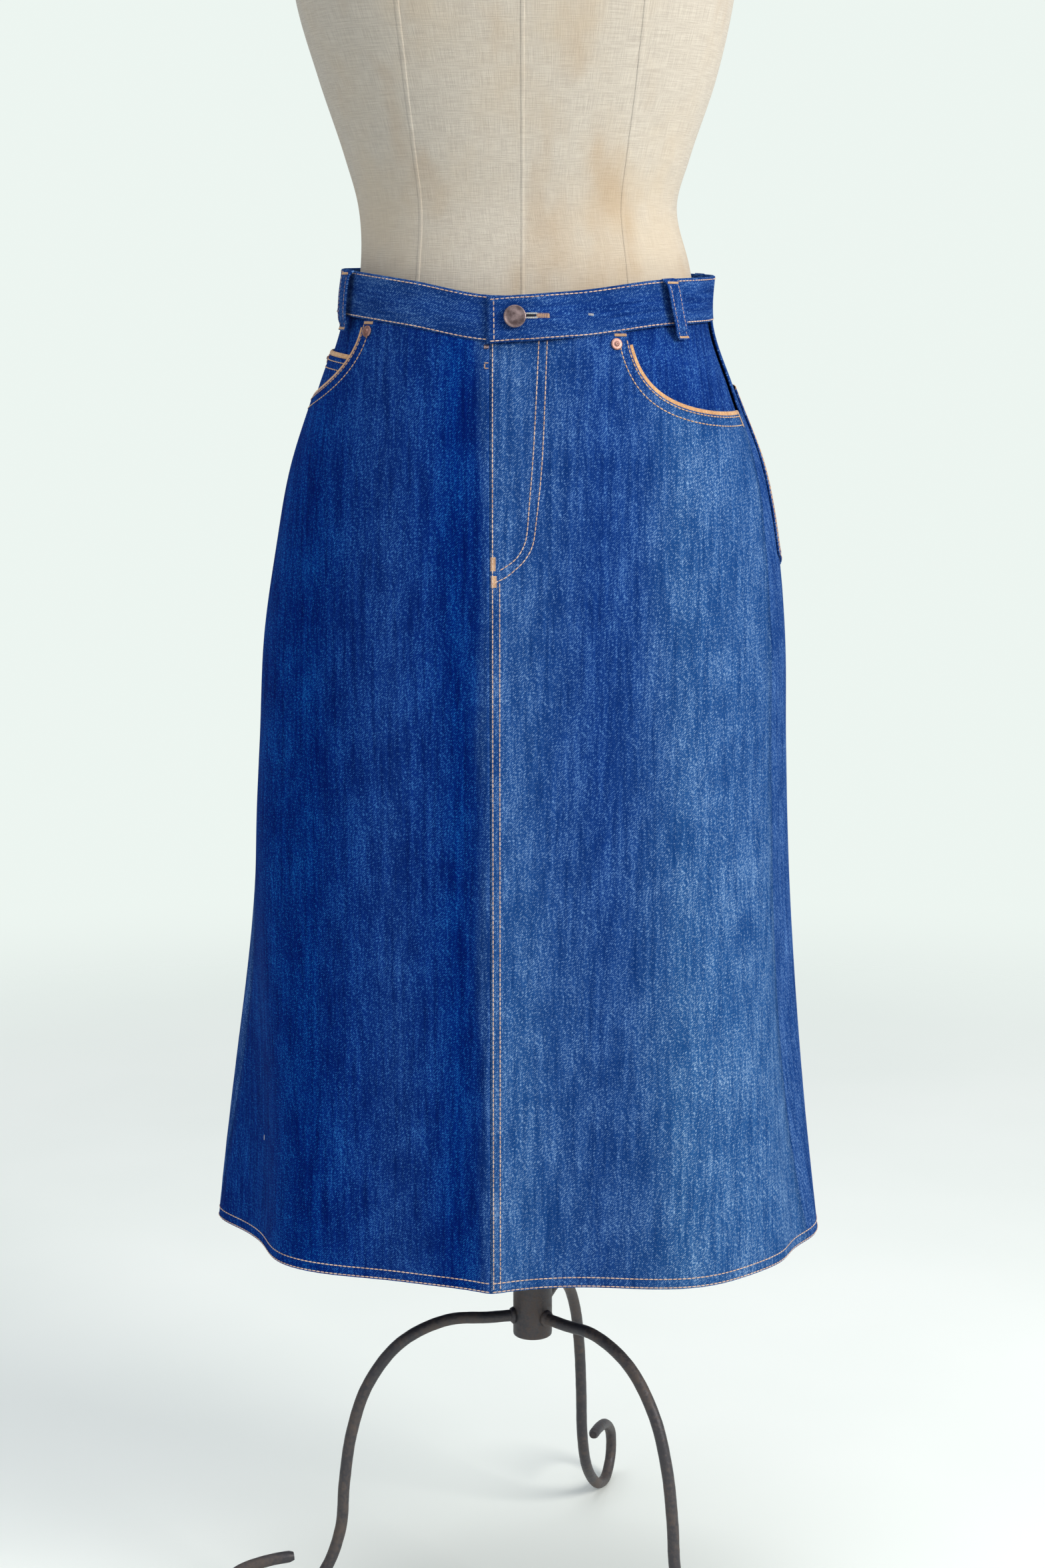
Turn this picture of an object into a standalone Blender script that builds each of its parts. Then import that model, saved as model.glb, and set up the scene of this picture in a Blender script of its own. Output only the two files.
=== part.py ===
"""A-line denim skirt on a linen dress form with a bent-iron tripod.

Metres, +Z up. The garment faces -Y, so the wearer's left side is at +X. The garment's and the
form's sizes are taken from their own upright axis, which is then set so that the origin lies on
the floor under the middle of the whole.
"""
import math

import bmesh
import bpy
import numpy as np
from mathutils import Vector

# ---- driving sizes ---------------------------------------------------------------------------
AXIS_X = 0.0080              # the form's axis, seen from the middle of the whole
AXIS_Y = -0.0335
GAP = 0.0003                 # clearance where pieces meet

DENIM = 0.0014               # one layer of heavy denim
BAND_THICK = 0.0030          # folded waistband
BAND_WIDTH = 0.0345
LAP = 0.0420                 # the waistband's under end runs on this far past the centre front
LAP_HIGH = 0.0420            # its over end lies on top of it up to here,
LAP_FLAT = 0.0750            # and is back against the body from here on
LAP_DROOP = 0.0020           # how far the lapped end's corner hangs,
LAP_CORNER = 0.0260          # and the distance over which it does
WAIST_QUARTER = 0.25         # a panel's top edge covers a quarter of the waist
HEM_Z = 0.3400
HEM_TURN = 0.0110            # height of the turned hem
HIP_Z = 1.0000               # the panels' rows are level up to here
FRONT_X = -0.0250            # the centre front stands off the axis, as the skirt is turned on the form

# scooped pocket mouths, on the wearer's left (1) and right (-1): distance of the corner on the
# waist seam from the centre front, depth at the side seam, and how square the curve is
MOUTHS = {1: (0.1060, 0.0720, 2.7), -1: (0.1110, 0.0690, 2.2)}
FACING_LAP = 0.0120          # how far a facing reaches behind the front panel
FACING_SIDE = 0.997          # a facing stops just short of the side seam
FACING_LEVELS = {"pocket_facing_left": -0.0030, "pocket_facing_right": -0.0044}
PIPING_RISE = (0.0004, 0.0032)
PIPING_TURN = (12.0, 88.0)   # degrees round the mouth between which the piping shows
PIPING_LEVEL = -0.0004
COIN_NEAR = 0.56             # coin pocket: its two sides as fractions of the front panel,
COIN_FAR = 0.93
COIN_TOP = 0.0310            # and its top and bottom below the waist seam
COIN_LOW = 0.0720
COIN_LEVEL = -0.0024
EDGING_WIDTH = 0.0030        # bound edge of the coin pocket and the back pockets

POCKET_WIDTH = 0.1450        # back pocket
POCKET_HEIGHT = 0.1500
POCKET_TOP = 1.0420
POCKET_EDGE = 0.0160         # its outer side's distance from the side seam
POCKET_POINT = 0.0200        # depth of its pointed bottom
POCKET_NARROW = 0.0120       # how much each side draws in towards the bottom

LOOP_WIDTH = 0.0120
LOOP_THICK = 0.0016
LOOP_SEAT = 0.0008
LOOP_DISTANCES = {"belt_loop_front_left": 0.147, "belt_loop_front_right": -0.131,
                  "belt_loop_side_left": 0.272, "belt_loop_side_right": -0.272}
# a belt loop's course: height above the waist seam, and how far it stands off the band
LOOP_COURSE = ((-0.0120, 0.0), (-0.0080, 0.0), (-0.0030, 0.0028), (0.0060, 0.0046), (0.0175, 0.0052),
               (0.0290, 0.0046), (0.0330, 0.0028), (0.0350, 0.0004))

BUTTON_DISTANCE = 0.0187     # from the centre front
BUTTON_Z = 1.0990
# outlines of the metal parts: radius and height
BUTTON_OUTLINE = ((0.0045, 0.0), (0.0045, 0.0016), (0.0080, 0.0020), (0.0086, 0.0028),
                  (0.0082, 0.0038), (0.0070, 0.0040), (0.0050, 0.0038), (0.0025, 0.0042))
RIVET_OUTLINE = ((0.0045, 0.0), (0.0046, 0.0006), (0.0040, 0.0011), (0.0022, 0.0013),
                 (0.0018, 0.0019), (0.0010, 0.0022))
# corner rivets: distance from the centre front, and below the waist seam
CORNER_RIVETS = {"rivet_left": (0.0960, 0.0085), "rivet_right": (-0.1055, 0.0090)}
COIN_RIVET = (0.905, 0.0355) # the coin pocket's: fraction of the panel, and below the waist seam

POST_X = 0.0086              # the pipe enters the form a little off its middle
POST_RADIUS = 0.0165
POST_BOTTOM = 0.2460
FORM_BOTTOM = 0.8720
PLATE_THICK = 0.0120
ROD_RADIUS = 0.0050          # leg rod

# One row for each height of the skirt: half-widths to the wearer's right and left, reach to the
# front and back, how square the section is, the height of the soft keel at the centre front, and
# the share of the ring between the centre front and a side seam.
SKIRT_ROWS = (
    # z,    right,  left,   front,  back,   square, keel,  seam
    (1.140, 0.1420, 0.1525, 0.1020, 0.0900, 2.05, 0.001, 0.262),
    (1.095, 0.1478, 0.1510, 0.1070, 0.0990, 2.10, 0.002, 0.262),
    (1.044, 0.1650, 0.1680, 0.1160, 0.1180, 2.15, 0.004, 0.252),
    (0.980, 0.1860, 0.1930, 0.1230, 0.1340, 2.20, 0.006, 0.230),
    (0.915, 0.1985, 0.2060, 0.1280, 0.1420, 2.20, 0.008, 0.221),
    (0.850, 0.2085, 0.2125, 0.1310, 0.1450, 2.20, 0.010, 0.217),
    (0.760, 0.2140, 0.2155, 0.1340, 0.1470, 2.20, 0.012, 0.216),
    (0.600, 0.2245, 0.2235, 0.1370, 0.1500, 2.20, 0.014, 0.220),
    (0.450, 0.2400, 0.2370, 0.1390, 0.1540, 2.20, 0.016, 0.231),
    (0.340, 0.2520, 0.2500, 0.1395, 0.1580, 2.20, 0.017, 0.243),
)
KEEL_SPREAD = math.radians(11.0)
KEEL_ROUND = math.radians(1.5)

# The large folds: where round the ring (degrees from the front, towards the wearer's left), how
# wide, how far out at the hem (in when negative), and the height at which each one dies out.
FOLDS = (
    # degrees, spread, depth, top
    (45, 17, 0.0230, 1.00),
    (78, 8, -0.0120, 0.90),
    (-44, 14, -0.0060, 0.90),
    (-81, 13, -0.0270, 0.72),
    (-98, 7, 0.0170, 0.75),
    (-140, 18, 0.0100, 0.95),
    (128, 18, 0.0080, 0.95),
    (178, 20, -0.0070, 0.90),
)

# The waistband's top edge, from share of the ring to height: higher at the sides and back.
WAIST_LINE = (
    # share, top
    (-0.50, 1.1380),
    (-0.25, 1.1375),
    (-0.18, 1.1355),
    (-0.08, 1.1265),
    (0.00, 1.1155),
    (0.08, 1.1185),
    (0.17, 1.1270),
    (0.25, 1.1300),
    (0.50, 1.1380),
)

# The dress form: half-width, reach to the front and back, squareness, and its middle's place
# across the axis, at each height.
FORM_ROWS = (
    # z,    half,   front,  back,   square, middle
    (0.872, 0.1640, 0.1000, 0.1140, 2.2, 0.002),
    (0.890, 0.1770, 0.1110, 0.1250, 2.2, 0.002),
    (0.930, 0.1830, 0.1180, 0.1300, 2.2, 0.002),
    (0.980, 0.1760, 0.1150, 0.1240, 2.2, 0.002),
    (1.044, 0.1560, 0.1060, 0.1070, 2.2, 0.002),
    (1.100, 0.1375, 0.0950, 0.0890, 2.2, 0.003),
    (1.139, 0.1305, 0.0910, 0.0830, 2.2, 0.002),
    (1.187, 0.1262, 0.0880, 0.0790, 2.2, -0.004),
    (1.222, 0.1358, 0.0940, 0.0810, 2.2, -0.004),
    (1.283, 0.1560, 0.1080, 0.0900, 2.3, -0.004),
    (1.343, 0.1710, 0.1230, 0.0980, 2.4, -0.006),
    (1.390, 0.1760, 0.1270, 0.1030, 2.5, -0.006),
    (1.440, 0.1750, 0.1120, 0.1050, 2.5, -0.006),
    (1.490, 0.1660, 0.0860, 0.0990, 2.4, -0.006),
    (1.525, 0.1380, 0.0690, 0.0860, 2.2, -0.006),
    (1.550, 0.0960, 0.0590, 0.0720, 2.1, -0.006),
    (1.575, 0.0650, 0.0530, 0.0600, 2.0, -0.006),
    (1.600, 0.0570, 0.0500, 0.0540, 2.0, -0.006),
    (1.645, 0.0550, 0.0500, 0.0500, 2.0, -0.006),
)
NECK_CAP_THICK = 0.0120

# A leg's centre line, out from the pipe, over the arch, down to the floor and back up in a scroll.
LEG_ROUTE = (
    # reach,  height
    (0.0360, 0.2640),
    (0.0740, 0.2650),
    (0.1140, 0.2490),
    (0.1430, 0.2140),
    (0.1570, 0.1740),
    (0.1640, 0.1290),
    (0.1680, 0.0870),
    (0.1810, 0.0530),
    (0.2060, 0.0260),
    (0.2340, 0.0090),
    (0.2590, 0.0055),
    (0.2760, 0.0190),
    (0.2770, 0.0400),
    (0.2560, 0.0590),
    (0.2280, 0.0665),
    (0.2080, 0.0680),
)
LEG_TURNS = {"leg_rear": 74.0, "leg_front_right": 194.0, "leg_front_left": 314.0}

RING_STEPS = 360
TRIM = 0.0012                # thickness of patches, facings and piping
PATCH_EASE = 0.0007          # how far a patch stands off its panel besides the clearance


# ---- sections --------------------------------------------------------------------------------
def row_at(rows, z):
    """A table's sizes at height z, on a smooth curve through its rows."""
    table = np.array(sorted(rows))
    heights = table[:, 0]
    z = min(max(z, heights[0]), heights[-1])
    i = int(min(max(np.searchsorted(heights, z) - 1, 0), len(heights) - 2))
    slopes = np.gradient(table[:, 1:], heights, axis=0)
    span = heights[i + 1] - heights[i]
    t = (z - heights[i]) / span
    return ((2 * t**3 - 3 * t**2 + 1) * table[i, 1:] + (t**3 - 2 * t**2 + t) * span * slopes[i]
            + (3 * t**2 - 2 * t**3) * table[i + 1, 1:] + (t**3 - t**2) * span * slopes[i + 1])


def wrapped(angle):
    """An angle, or an array of them, brought to within half a turn of zero."""
    return (angle + math.pi) % (2 * math.pi) - math.pi


def section_radius(angle, minus_x, plus_x, front, back, square):
    """Radius of a squared-off oval, angle 0 to the front and growing towards +X."""
    wide = np.where(np.sin(angle) > 0, plus_x, minus_x)
    deep = np.where(np.cos(angle) > 0, front, back)
    return (np.abs(np.sin(angle) / wide)**square
            + np.abs(np.cos(angle) / deep)**square)**(-1 / square)


RINGS = {}


def ring(z):
    """The skirt's section at height z: points from the centre front round to it again, their
    outward directions, and the share of the ring's length at each, with the whole length."""
    key = round(z, 5)
    if key not in RINGS:
        right, left, front, back, square, keel, _ = row_at(SKIRT_ROWS, z)
        lead = math.atan2(FRONT_X, front + keel)
        angle = lead + np.linspace(0, 2 * math.pi, RING_STEPS + 1)
        radius = section_radius(angle, right, left, front, back, square)
        off = np.hypot(wrapped(angle - lead), KEEL_ROUND) - KEEL_ROUND
        radius = radius + keel * np.exp(-off / KEEL_SPREAD)
        for degrees, spread, depth, top in FOLDS:
            share = min(max((top - z) / (top - HEM_Z), 0.0), 1.0)
            away = wrapped(angle - math.radians(degrees)) / math.radians(spread)
            radius = radius + depth * share * share * (3 - 2 * share) * np.exp(-away**2)
        points = np.stack((radius * np.sin(angle), -radius * np.cos(angle)), axis=1)
        steps = np.linalg.norm(np.diff(points, axis=0), axis=1)
        length = np.concatenate(([0.0], np.cumsum(steps)))
        along = np.gradient(points, axis=0)
        along[0] = along[-1] = points[1] - points[-2]
        along /= np.linalg.norm(along, axis=1)[:, None]
        directions = np.stack((along[:, 1], -along[:, 0]), axis=1)
        RINGS[key] = points, directions, length / length[-1], length[-1]
    return RINGS[key]


def girth(z):
    """Length round the skirt at height z."""
    return ring(z)[3]


def on_skirt(share, z, out=0.0):
    """The point at a share of the ring from the centre front, moved out from the cloth's middle."""
    points, directions, shares, _ = ring(z)
    share = share % 1.0
    x, y = (np.interp(share, shares, points[:, k]) for k in (0, 1))
    nx, ny = (np.interp(share, shares, directions[:, k]) for k in (0, 1))
    size = math.hypot(nx, ny)
    return Vector((x + out * nx / size, y + out * ny / size, z))


def outward(share, z):
    """The direction square to the cloth at a place."""
    across = on_skirt(share + 0.002, z) - on_skirt(share - 0.002, z)
    up = on_skirt(share, z + 0.004) - on_skirt(share, z - 0.004)
    return across.cross(up).normalized()


def front_share(across, z):
    """Share of the ring at a fraction of a front panel, 0 at the centre front, 1 at the side seam."""
    return across * float(row_at(SKIRT_ROWS, z)[-1])


def back_share(across, z):
    """The same on a back panel, 0 at the side seam and 1 at the centre back."""
    seam = float(row_at(SKIRT_ROWS, z)[-1])
    return seam + across * (0.5 - seam)


def waist_top(share):
    """Height of the waistband's top edge at a share of the ring."""
    return float(row_at(WAIST_LINE, (share + 0.5) % 1.0 - 0.5)[0])


def waist_seam(share):
    """Height of the seam under the waistband."""
    return waist_top(share) - BAND_WIDTH


def panel_top(side, across):
    """Height of the waist seam over a place on a front panel, on the wearer's left (1) or right."""
    return waist_seam(side * WAIST_QUARTER * across)


def front_length():
    """Length of a front panel, from centre front to side seam, at the pocket's height."""
    return front_share(1.0, 1.05) * girth(1.05)


def mouth_place(side, turn, rise=0.0):
    """A place on a pocket mouth, as a fraction of the front panel and a height: turn runs from 0
    at the corner on the waist seam to a quarter turn at the side seam, rise lies above the edge."""
    from_front, depth, square = MOUTHS[side]
    corner = from_front / (front_share(1.0, 1.09) * girth(1.09))
    reach = max(math.cos(turn), 0.0)**(2 / square)
    drop = math.sin(turn)**(2 / square)
    across = 1 - (1 - corner) * reach + rise * math.cos(turn) / front_length()
    return across, panel_top(side, across) - depth * drop + rise * math.sin(turn)


# ---- mesh building ---------------------------------------------------------------------------
def material(name, colour, roughness, metallic=0.0):
    made = bpy.data.materials.new(name)
    made.use_nodes = True
    shader = made.node_tree.nodes["Principled BSDF"]
    shader.inputs["Base Color"].default_value = (*colour, 1.0)
    shader.inputs["Roughness"].default_value = roughness
    shader.inputs["Metallic"].default_value = metallic
    made.diffuse_color = (*colour, 1.0)
    return made


def add_object(name, bm, look, sharp=40.0):
    """Turns a bmesh into a named object under the form's axis, smooth with sharp edges kept."""
    bmesh.ops.recalc_face_normals(bm, faces=bm.faces)
    mesh = bpy.data.meshes.new(name)
    bm.to_mesh(mesh)
    bm.free()
    mesh.materials.append(look)
    mesh.shade_smooth()
    mesh.set_sharp_from_angle(angle=math.radians(sharp))
    made = bpy.data.objects.new(name, mesh)
    bpy.context.scene.collection.objects.link(made)
    made.parent = axis
    return made


def bridge_grids(bm, outer, inner, closed=False):
    """Faces over two matching grids of vertices, and the strips that join them at the edges."""
    rows, columns = len(outer), len(outer[0])
    for i in range(rows - 1):
        for j in range(columns - 1):
            bm.faces.new((outer[i][j], outer[i][j + 1], outer[i + 1][j + 1], outer[i + 1][j]))
            bm.faces.new((inner[i][j], inner[i + 1][j], inner[i + 1][j + 1], inner[i][j + 1]))
    for j in range(columns - 1):
        bm.faces.new((outer[0][j], inner[0][j], inner[0][j + 1], outer[0][j + 1]))
        bm.faces.new((outer[-1][j], outer[-1][j + 1], inner[-1][j + 1], inner[-1][j]))
    for i in range(rows - 1):
        bm.faces.new((outer[i][0], outer[i + 1][0], inner[i + 1][0], inner[i][0]))
        bm.faces.new((outer[i][-1], inner[i][-1], inner[i + 1][-1], outer[i + 1][-1]))


def wall(name, places, look, thick=TRIM, level=0.0):
    """A wall of cloth: places is a grid of (share, z) or (share, z, level, thick)."""
    bm = bmesh.new()
    sides = []
    for side in (0.5, -0.5):
        grid = []
        for row in places:
            line = []
            for share, z, *own in row:
                middle, depth = own if own else (level, thick)
                line.append(bm.verts.new(on_skirt(share, z, middle + side * depth)))
            grid.append(line)
        sides.append(grid)
    bridge_grids(bm, *sides)
    return add_object(name, bm, look)


def turned(name, profile, look, steps=24, place=None, face=None):
    """A round piece from (radius, height) pairs, bottom to top, set at a place and facing a way."""
    bm = bmesh.new()
    loops = []
    for radius, height in profile:
        loop = []
        for k in range(steps):
            turn = 2 * math.pi * k / steps
            loop.append(bm.verts.new((radius * math.cos(turn), radius * math.sin(turn), height)))
        loops.append(loop)
    for low, high in zip(loops, loops[1:]):
        for k in range(steps):
            bm.faces.new((low[k], low[(k + 1) % steps], high[(k + 1) % steps], high[k]))
    bm.faces.new(reversed(loops[0]))
    bm.faces.new(loops[-1])
    if face is not None:
        bm.transform(face.to_track_quat("Z", "Y").to_matrix().to_4x4())
    if place is not None:
        bmesh.ops.translate(bm, vec=place, verts=bm.verts)
    return add_object(name, bm, look)


def form_stack(name, levels, look, steps=36):
    """A closed body through the form's own oval sections, flat at both ends: levels are pairs of
    a height and a height in the form's table, with a share of that section's size."""
    bm = bmesh.new()
    loops = []
    for z, row_z, size in levels:
        half, front, back, square, middle = row_at(FORM_ROWS, row_z)
        loop = []
        for k in range(steps):
            angle = 2 * math.pi * k / steps
            radius = size * float(section_radius(angle, half, half, front, back, square))
            loop.append(bm.verts.new((middle + radius * math.sin(angle),
                                      -radius * math.cos(angle), z)))
        loops.append(loop)
    for low, high in zip(loops, loops[1:]):
        for k in range(steps):
            bm.faces.new((low[k], low[(k + 1) % steps], high[(k + 1) % steps], high[k]))
    bm.faces.new(loops[0])
    bm.faces.new(loops[-1])
    return add_object(name, bm, look)


# ---- the skirt -------------------------------------------------------------------------------
def clear_of_seams(share, near, far, z):
    """A share held clear of both seams by half the gap."""
    clear = 0.7 * GAP / girth(z)
    return min(max(share, near + clear), far - clear)


def panel(name, side, part, columns, tops, look, low_rows=11, high_rows=6):
    """A front or back panel: part gives a share from a fraction of the panel. The rows are level
    up to the hips and then rise to each column's own top. The hem is turned inwards."""
    start = HEM_Z + HEM_TURN
    places = []
    for level, thick, z in ((-DENIM / 2, 2 * DENIM, HEM_Z), (-DENIM / 2, 2 * DENIM, start)):
        row = [clear_of_seams(part(c, z), part(0, z), part(1, z), z) for c in columns]
        places.append([(side * share, z, level, thick) for share in row])
    start += 0.0012
    for k in range(low_rows + high_rows + 1):
        row = []
        for column, top in zip(columns, tops):
            z = start + (HIP_Z - start) * k / low_rows
            if k > low_rows:
                z = HIP_Z + (top - HIP_Z) * (k - low_rows) / high_rows
            share = clear_of_seams(part(column, z), part(0, z), part(1, z), z)
            row.append((side * share, z, 0.0, DENIM))
        places.append(row)
    wall(name, places, look)


def front_panels(look):
    """Two front panels, each with its scooped pocket mouth."""
    for name, side in (("front_left", 1), ("front_right", -1)):
        corner = mouth_place(side, 0.0)[0]
        columns = [corner * k / 8 for k in range(9)]
        tops = [panel_top(side, c) - GAP for c in columns]
        for k in range(1, 10):
            across, z = mouth_place(side, math.pi / 2 * k / 9)
            columns.append(across)
            tops.append(z - GAP)
        panel(name, side, front_share, columns, tops, look)


def back_panels(look):
    columns = [k / 18 for k in range(19)]
    for name, side in (("back_left", 1), ("back_right", -1)):
        tops = [panel_top(side, 1 + c) - GAP for c in columns]
        panel(name, side, back_share, columns, tops, look)


def waistband(look):
    """One folded band round the waist. Its end at the wearer's left laps over the other."""
    rise = BAND_THICK + GAP          # how far the over end is lifted
    around = girth(1.11)
    start, end = -LAP_DROOP / around, 1.0 + LAP / around
    count = 56
    places = []
    columns = [start + (end - start) * k / count for k in range(count + 1)]
    for up in (0.0, 0.5, 1.0):
        row = []
        for c in columns:
            ease = min(max((LAP_FLAT - c * around) / (LAP_FLAT - LAP_HIGH), 0.0), 1.0)
            lift = rise * ease * ease * (3 - 2 * ease)
            droop = LAP_DROOP * max(1 - c * around / LAP_CORNER, 0.0)**2
            row.append((c, waist_seam(c) + up * BAND_WIDTH - droop, lift, BAND_THICK))
        places.append(row)
    wall("waistband", places, look)


def front_patch(name, side, near, far, heights, look, level, columns=12):
    """A patch behind a front panel, between two fractions of it, level with the waist seam:
    heights are distances below the seam."""
    places = []
    for drop in heights:
        row = []
        for k in range(columns + 1):
            across = near + (far - near) * k / columns
            z = panel_top(side, across) - drop
            row.append((side * front_share(across, z), z))
        places.append(row)
    wall(name, places, look, TRIM, level)


def pocket_facings(look):
    """The denim seen inside each scooped mouth, set behind the front panel."""
    for (name, level), side in zip(FACING_LEVELS.items(), (1, -1)):
        near = mouth_place(side, 0.0)[0] - FACING_LAP / front_length()
        low = MOUTHS[side][1] + FACING_LAP
        heights = [low - (low - GAP) * k / 6 for k in range(7)]
        front_patch(name, side, near, FACING_SIDE, heights, look, level)


def pocket_piping(look):
    """Folded edging that shows along each mouth, between the front panel and the facing."""
    count = 12
    first, last = PIPING_TURN
    for name, side in (("pocket_piping_left", 1), ("pocket_piping_right", -1)):
        places = []
        for rise in PIPING_RISE:
            row = []
            for k in range(count + 1):
                turn = math.radians(first + (last - first) * k / count)
                across, z = mouth_place(side, turn, rise)
                row.append((side * front_share(across, z), z))
            places.append(row)
        wall(name, places, look, TRIM, PIPING_LEVEL)


def coin_pocket(look, edging):
    """A small patch on the wearer's right facing, its top edge bound."""
    heights = [COIN_LOW - (COIN_LOW - COIN_TOP) * k / 4 for k in range(5)]
    front_patch("coin_pocket", -1, COIN_NEAR, COIN_FAR, heights, look, COIN_LEVEL, 10)
    bound = (COIN_TOP - GAP, COIN_TOP - EDGING_WIDTH)
    front_patch("coin_piping", -1, COIN_NEAR, COIN_FAR, bound, edging, COIN_LEVEL, 10)


def back_pockets(look, edging):
    """Pointed patch pockets on the back panels, each with a bound top edge."""
    level = DENIM / 2 + GAP + PATCH_EASE + TRIM / 2
    for name, side in (("back_pocket_left", 1), ("back_pocket_right", -1)):
        places = []
        for up in (0.0, 0.12, 0.24, 0.37, 0.50, 0.63, 0.75, 0.88, 1.0):
            row = []
            for k in range(11):
                across = k / 10
                point = POCKET_POINT * (1 - abs(2 * across - 1)) * (1 - up)
                narrow = POCKET_NARROW * (1 - up)
                z = POCKET_TOP - POCKET_HEIGHT * (1 - up) - point + POCKET_POINT * (1 - up) * (1 - up)
                away = POCKET_EDGE + narrow + (POCKET_WIDTH - 2 * narrow) * across
                row.append((side * (back_share(0, z) + away / girth(z)), z))
            places.append(row)
        wall(name, places, look, TRIM, level)
        strip = []
        for rise in (GAP, GAP + EDGING_WIDTH):
            z = POCKET_TOP + rise
            strip.append([(side * (back_share(0, z) + (POCKET_EDGE + POCKET_WIDTH * k / 10) / girth(z)), z)
                          for k in range(11)])
        wall(name.replace("back_pocket", "back_piping"), strip, edging, TRIM, level)


def belt_loops(look):
    """Folded strips, arched off the waistband and sewn down at both ends."""
    around = girth(1.11)
    base = BAND_THICK / 2 + GAP + LOOP_SEAT
    for name, distance in {**LOOP_DISTANCES, "belt_loop_back": around / 2}.items():
        places = []
        for height, off in LOOP_COURSE:
            row = []
            for side in (-0.5, 0.5):
                share = (distance + side * LOOP_WIDTH) / around
                row.append((share, waist_seam(share) + height, base + off, LOOP_THICK))
            places.append(row)
        wall(name, places, look)


def set_metal(name, outline, look, steps, share, z, level):
    """A round metal part set square on the cloth, its seat at a level from the cloth's middle."""
    face = outward(share, z)
    turned(name, outline, look, steps, on_skirt(share, z) + level * face, face)


def button_and_rivets(brass, copper):
    """The shank button on the lapped end, and the rivets at the pocket corners."""
    seat = BAND_THICK * 1.5 + 2 * GAP + PATCH_EASE
    share = BUTTON_DISTANCE / girth(1.10)
    set_metal("button", BUTTON_OUTLINE, brass, 20, share, BUTTON_Z, seat)
    for name, (distance, drop) in CORNER_RIVETS.items():
        share = distance / girth(1.085)
        set_metal(name, RIVET_OUTLINE, copper, 14, share, waist_seam(share) - drop, DENIM / 2 + PATCH_EASE)
    across, drop = COIN_RIVET
    z = panel_top(-1, across) - drop
    set_metal("rivet_coin_pocket", RIVET_OUTLINE, copper, 14, -front_share(across, z), z,
              COIN_LEVEL + TRIM / 2 + PATCH_EASE)


# ---- the stand -------------------------------------------------------------------------------
def dress_form(linen, wood):
    """The linen-covered torso, its neck cap and the board under it."""
    heights = np.linspace(FORM_BOTTOM, FORM_ROWS[-1][0], 34)
    form_stack("dress_form", [(z, z, 1.0) for z in heights], linen)
    top = FORM_ROWS[-1][0]
    base = top + GAP
    form_stack("neck_cap", ((base, top, 0.94), (base + 0.003, top, 1.0), (base + 0.009, top, 1.0),
                            (base + NECK_CAP_THICK, top, 0.94)), wood)
    base = FORM_BOTTOM - GAP - PLATE_THICK
    form_stack("base_plate", ((base, FORM_BOTTOM, 0.92), (base + 0.002, FORM_BOTTOM, 0.94),
                              (base + PLATE_THICK, FORM_BOTTOM, 0.94)), wood)


def tripod(iron):
    """The pipe and its three legs, each a bent rod that ends in a scroll."""
    top = FORM_BOTTOM - GAP - PLATE_THICK - GAP
    r = POST_RADIUS
    turned("post", ((r - 0.0012, POST_BOTTOM), (r, POST_BOTTOM + 0.0012), (r, top)), iron, 24,
           Vector((POST_X, 0, 0)))
    route = np.array(((POST_RADIUS + GAP, LEG_ROUTE[0][1]),) + LEG_ROUTE)
    steps = np.linalg.norm(np.diff(route, axis=0), axis=1)
    length = np.concatenate(([0.0], np.cumsum(steps)))
    slopes = np.gradient(route, length, axis=0)
    slopes[0] = (1.0, 0.0)
    for name, turn in LEG_TURNS.items():
        curve = bpy.data.curves.new(name, "CURVE")
        curve.dimensions = "3D"
        curve.bevel_depth = ROD_RADIUS
        curve.bevel_resolution = 2
        curve.use_fill_caps = True
        points = []
        for s in np.linspace(0, length[-1], 52):
            i = int(min(max(np.searchsorted(length, s) - 1, 0), len(length) - 2))
            span = length[i + 1] - length[i]
            t = (s - length[i]) / span
            reach, z = ((2 * t**3 - 3 * t**2 + 1) * route[i] + (t**3 - 2 * t**2 + t) * span * slopes[i]
                        + (3 * t**2 - 2 * t**3) * route[i + 1] + (t**3 - t**2) * span * slopes[i + 1])
            points.append((POST_X + reach * math.cos(math.radians(turn)),
                           reach * math.sin(math.radians(turn)), max(z, ROD_RADIUS)))
        spline = curve.splines.new("POLY")
        spline.points.add(len(points) - 1)
        for point, place in zip(spline.points, points):
            point.co = (*place, 1.0)
        curve.materials.append(iron)
        made = bpy.data.objects.new(name, curve)
        bpy.context.scene.collection.objects.link(made)
        made.parent = axis


# ---- build -----------------------------------------------------------------------------------
for old in list(bpy.data.objects):
    bpy.data.objects.remove(old, do_unlink=True)

axis = bpy.data.objects.new("form_axis", None)
axis.location = (AXIS_X, AXIS_Y, 0.0)
bpy.context.scene.collection.objects.link(axis)

denim = material("denim", (0.045, 0.105, 0.260), 0.85)
piping = material("piping", (0.640, 0.330, 0.110), 0.70)
button_metal = material("button_metal", (0.190, 0.120, 0.120), 0.40, 0.9)
copper = material("copper", (0.520, 0.300, 0.230), 0.45, 0.9)
linen = material("linen", (0.560, 0.480, 0.360), 0.90)
wood = material("wood", (0.160, 0.085, 0.045), 0.50)
iron = material("iron", (0.075, 0.060, 0.052), 0.60, 0.7)

front_panels(denim)
back_panels(denim)
waistband(denim)
pocket_facings(denim)
pocket_piping(piping)
coin_pocket(denim, piping)
back_pockets(denim, piping)
belt_loops(denim)
button_and_rivets(button_metal, copper)
dress_form(linen, wood)
tripod(iron)
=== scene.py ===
import math

import bmesh
import bpy
import numpy as np
from mathutils import Matrix, Vector


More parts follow.
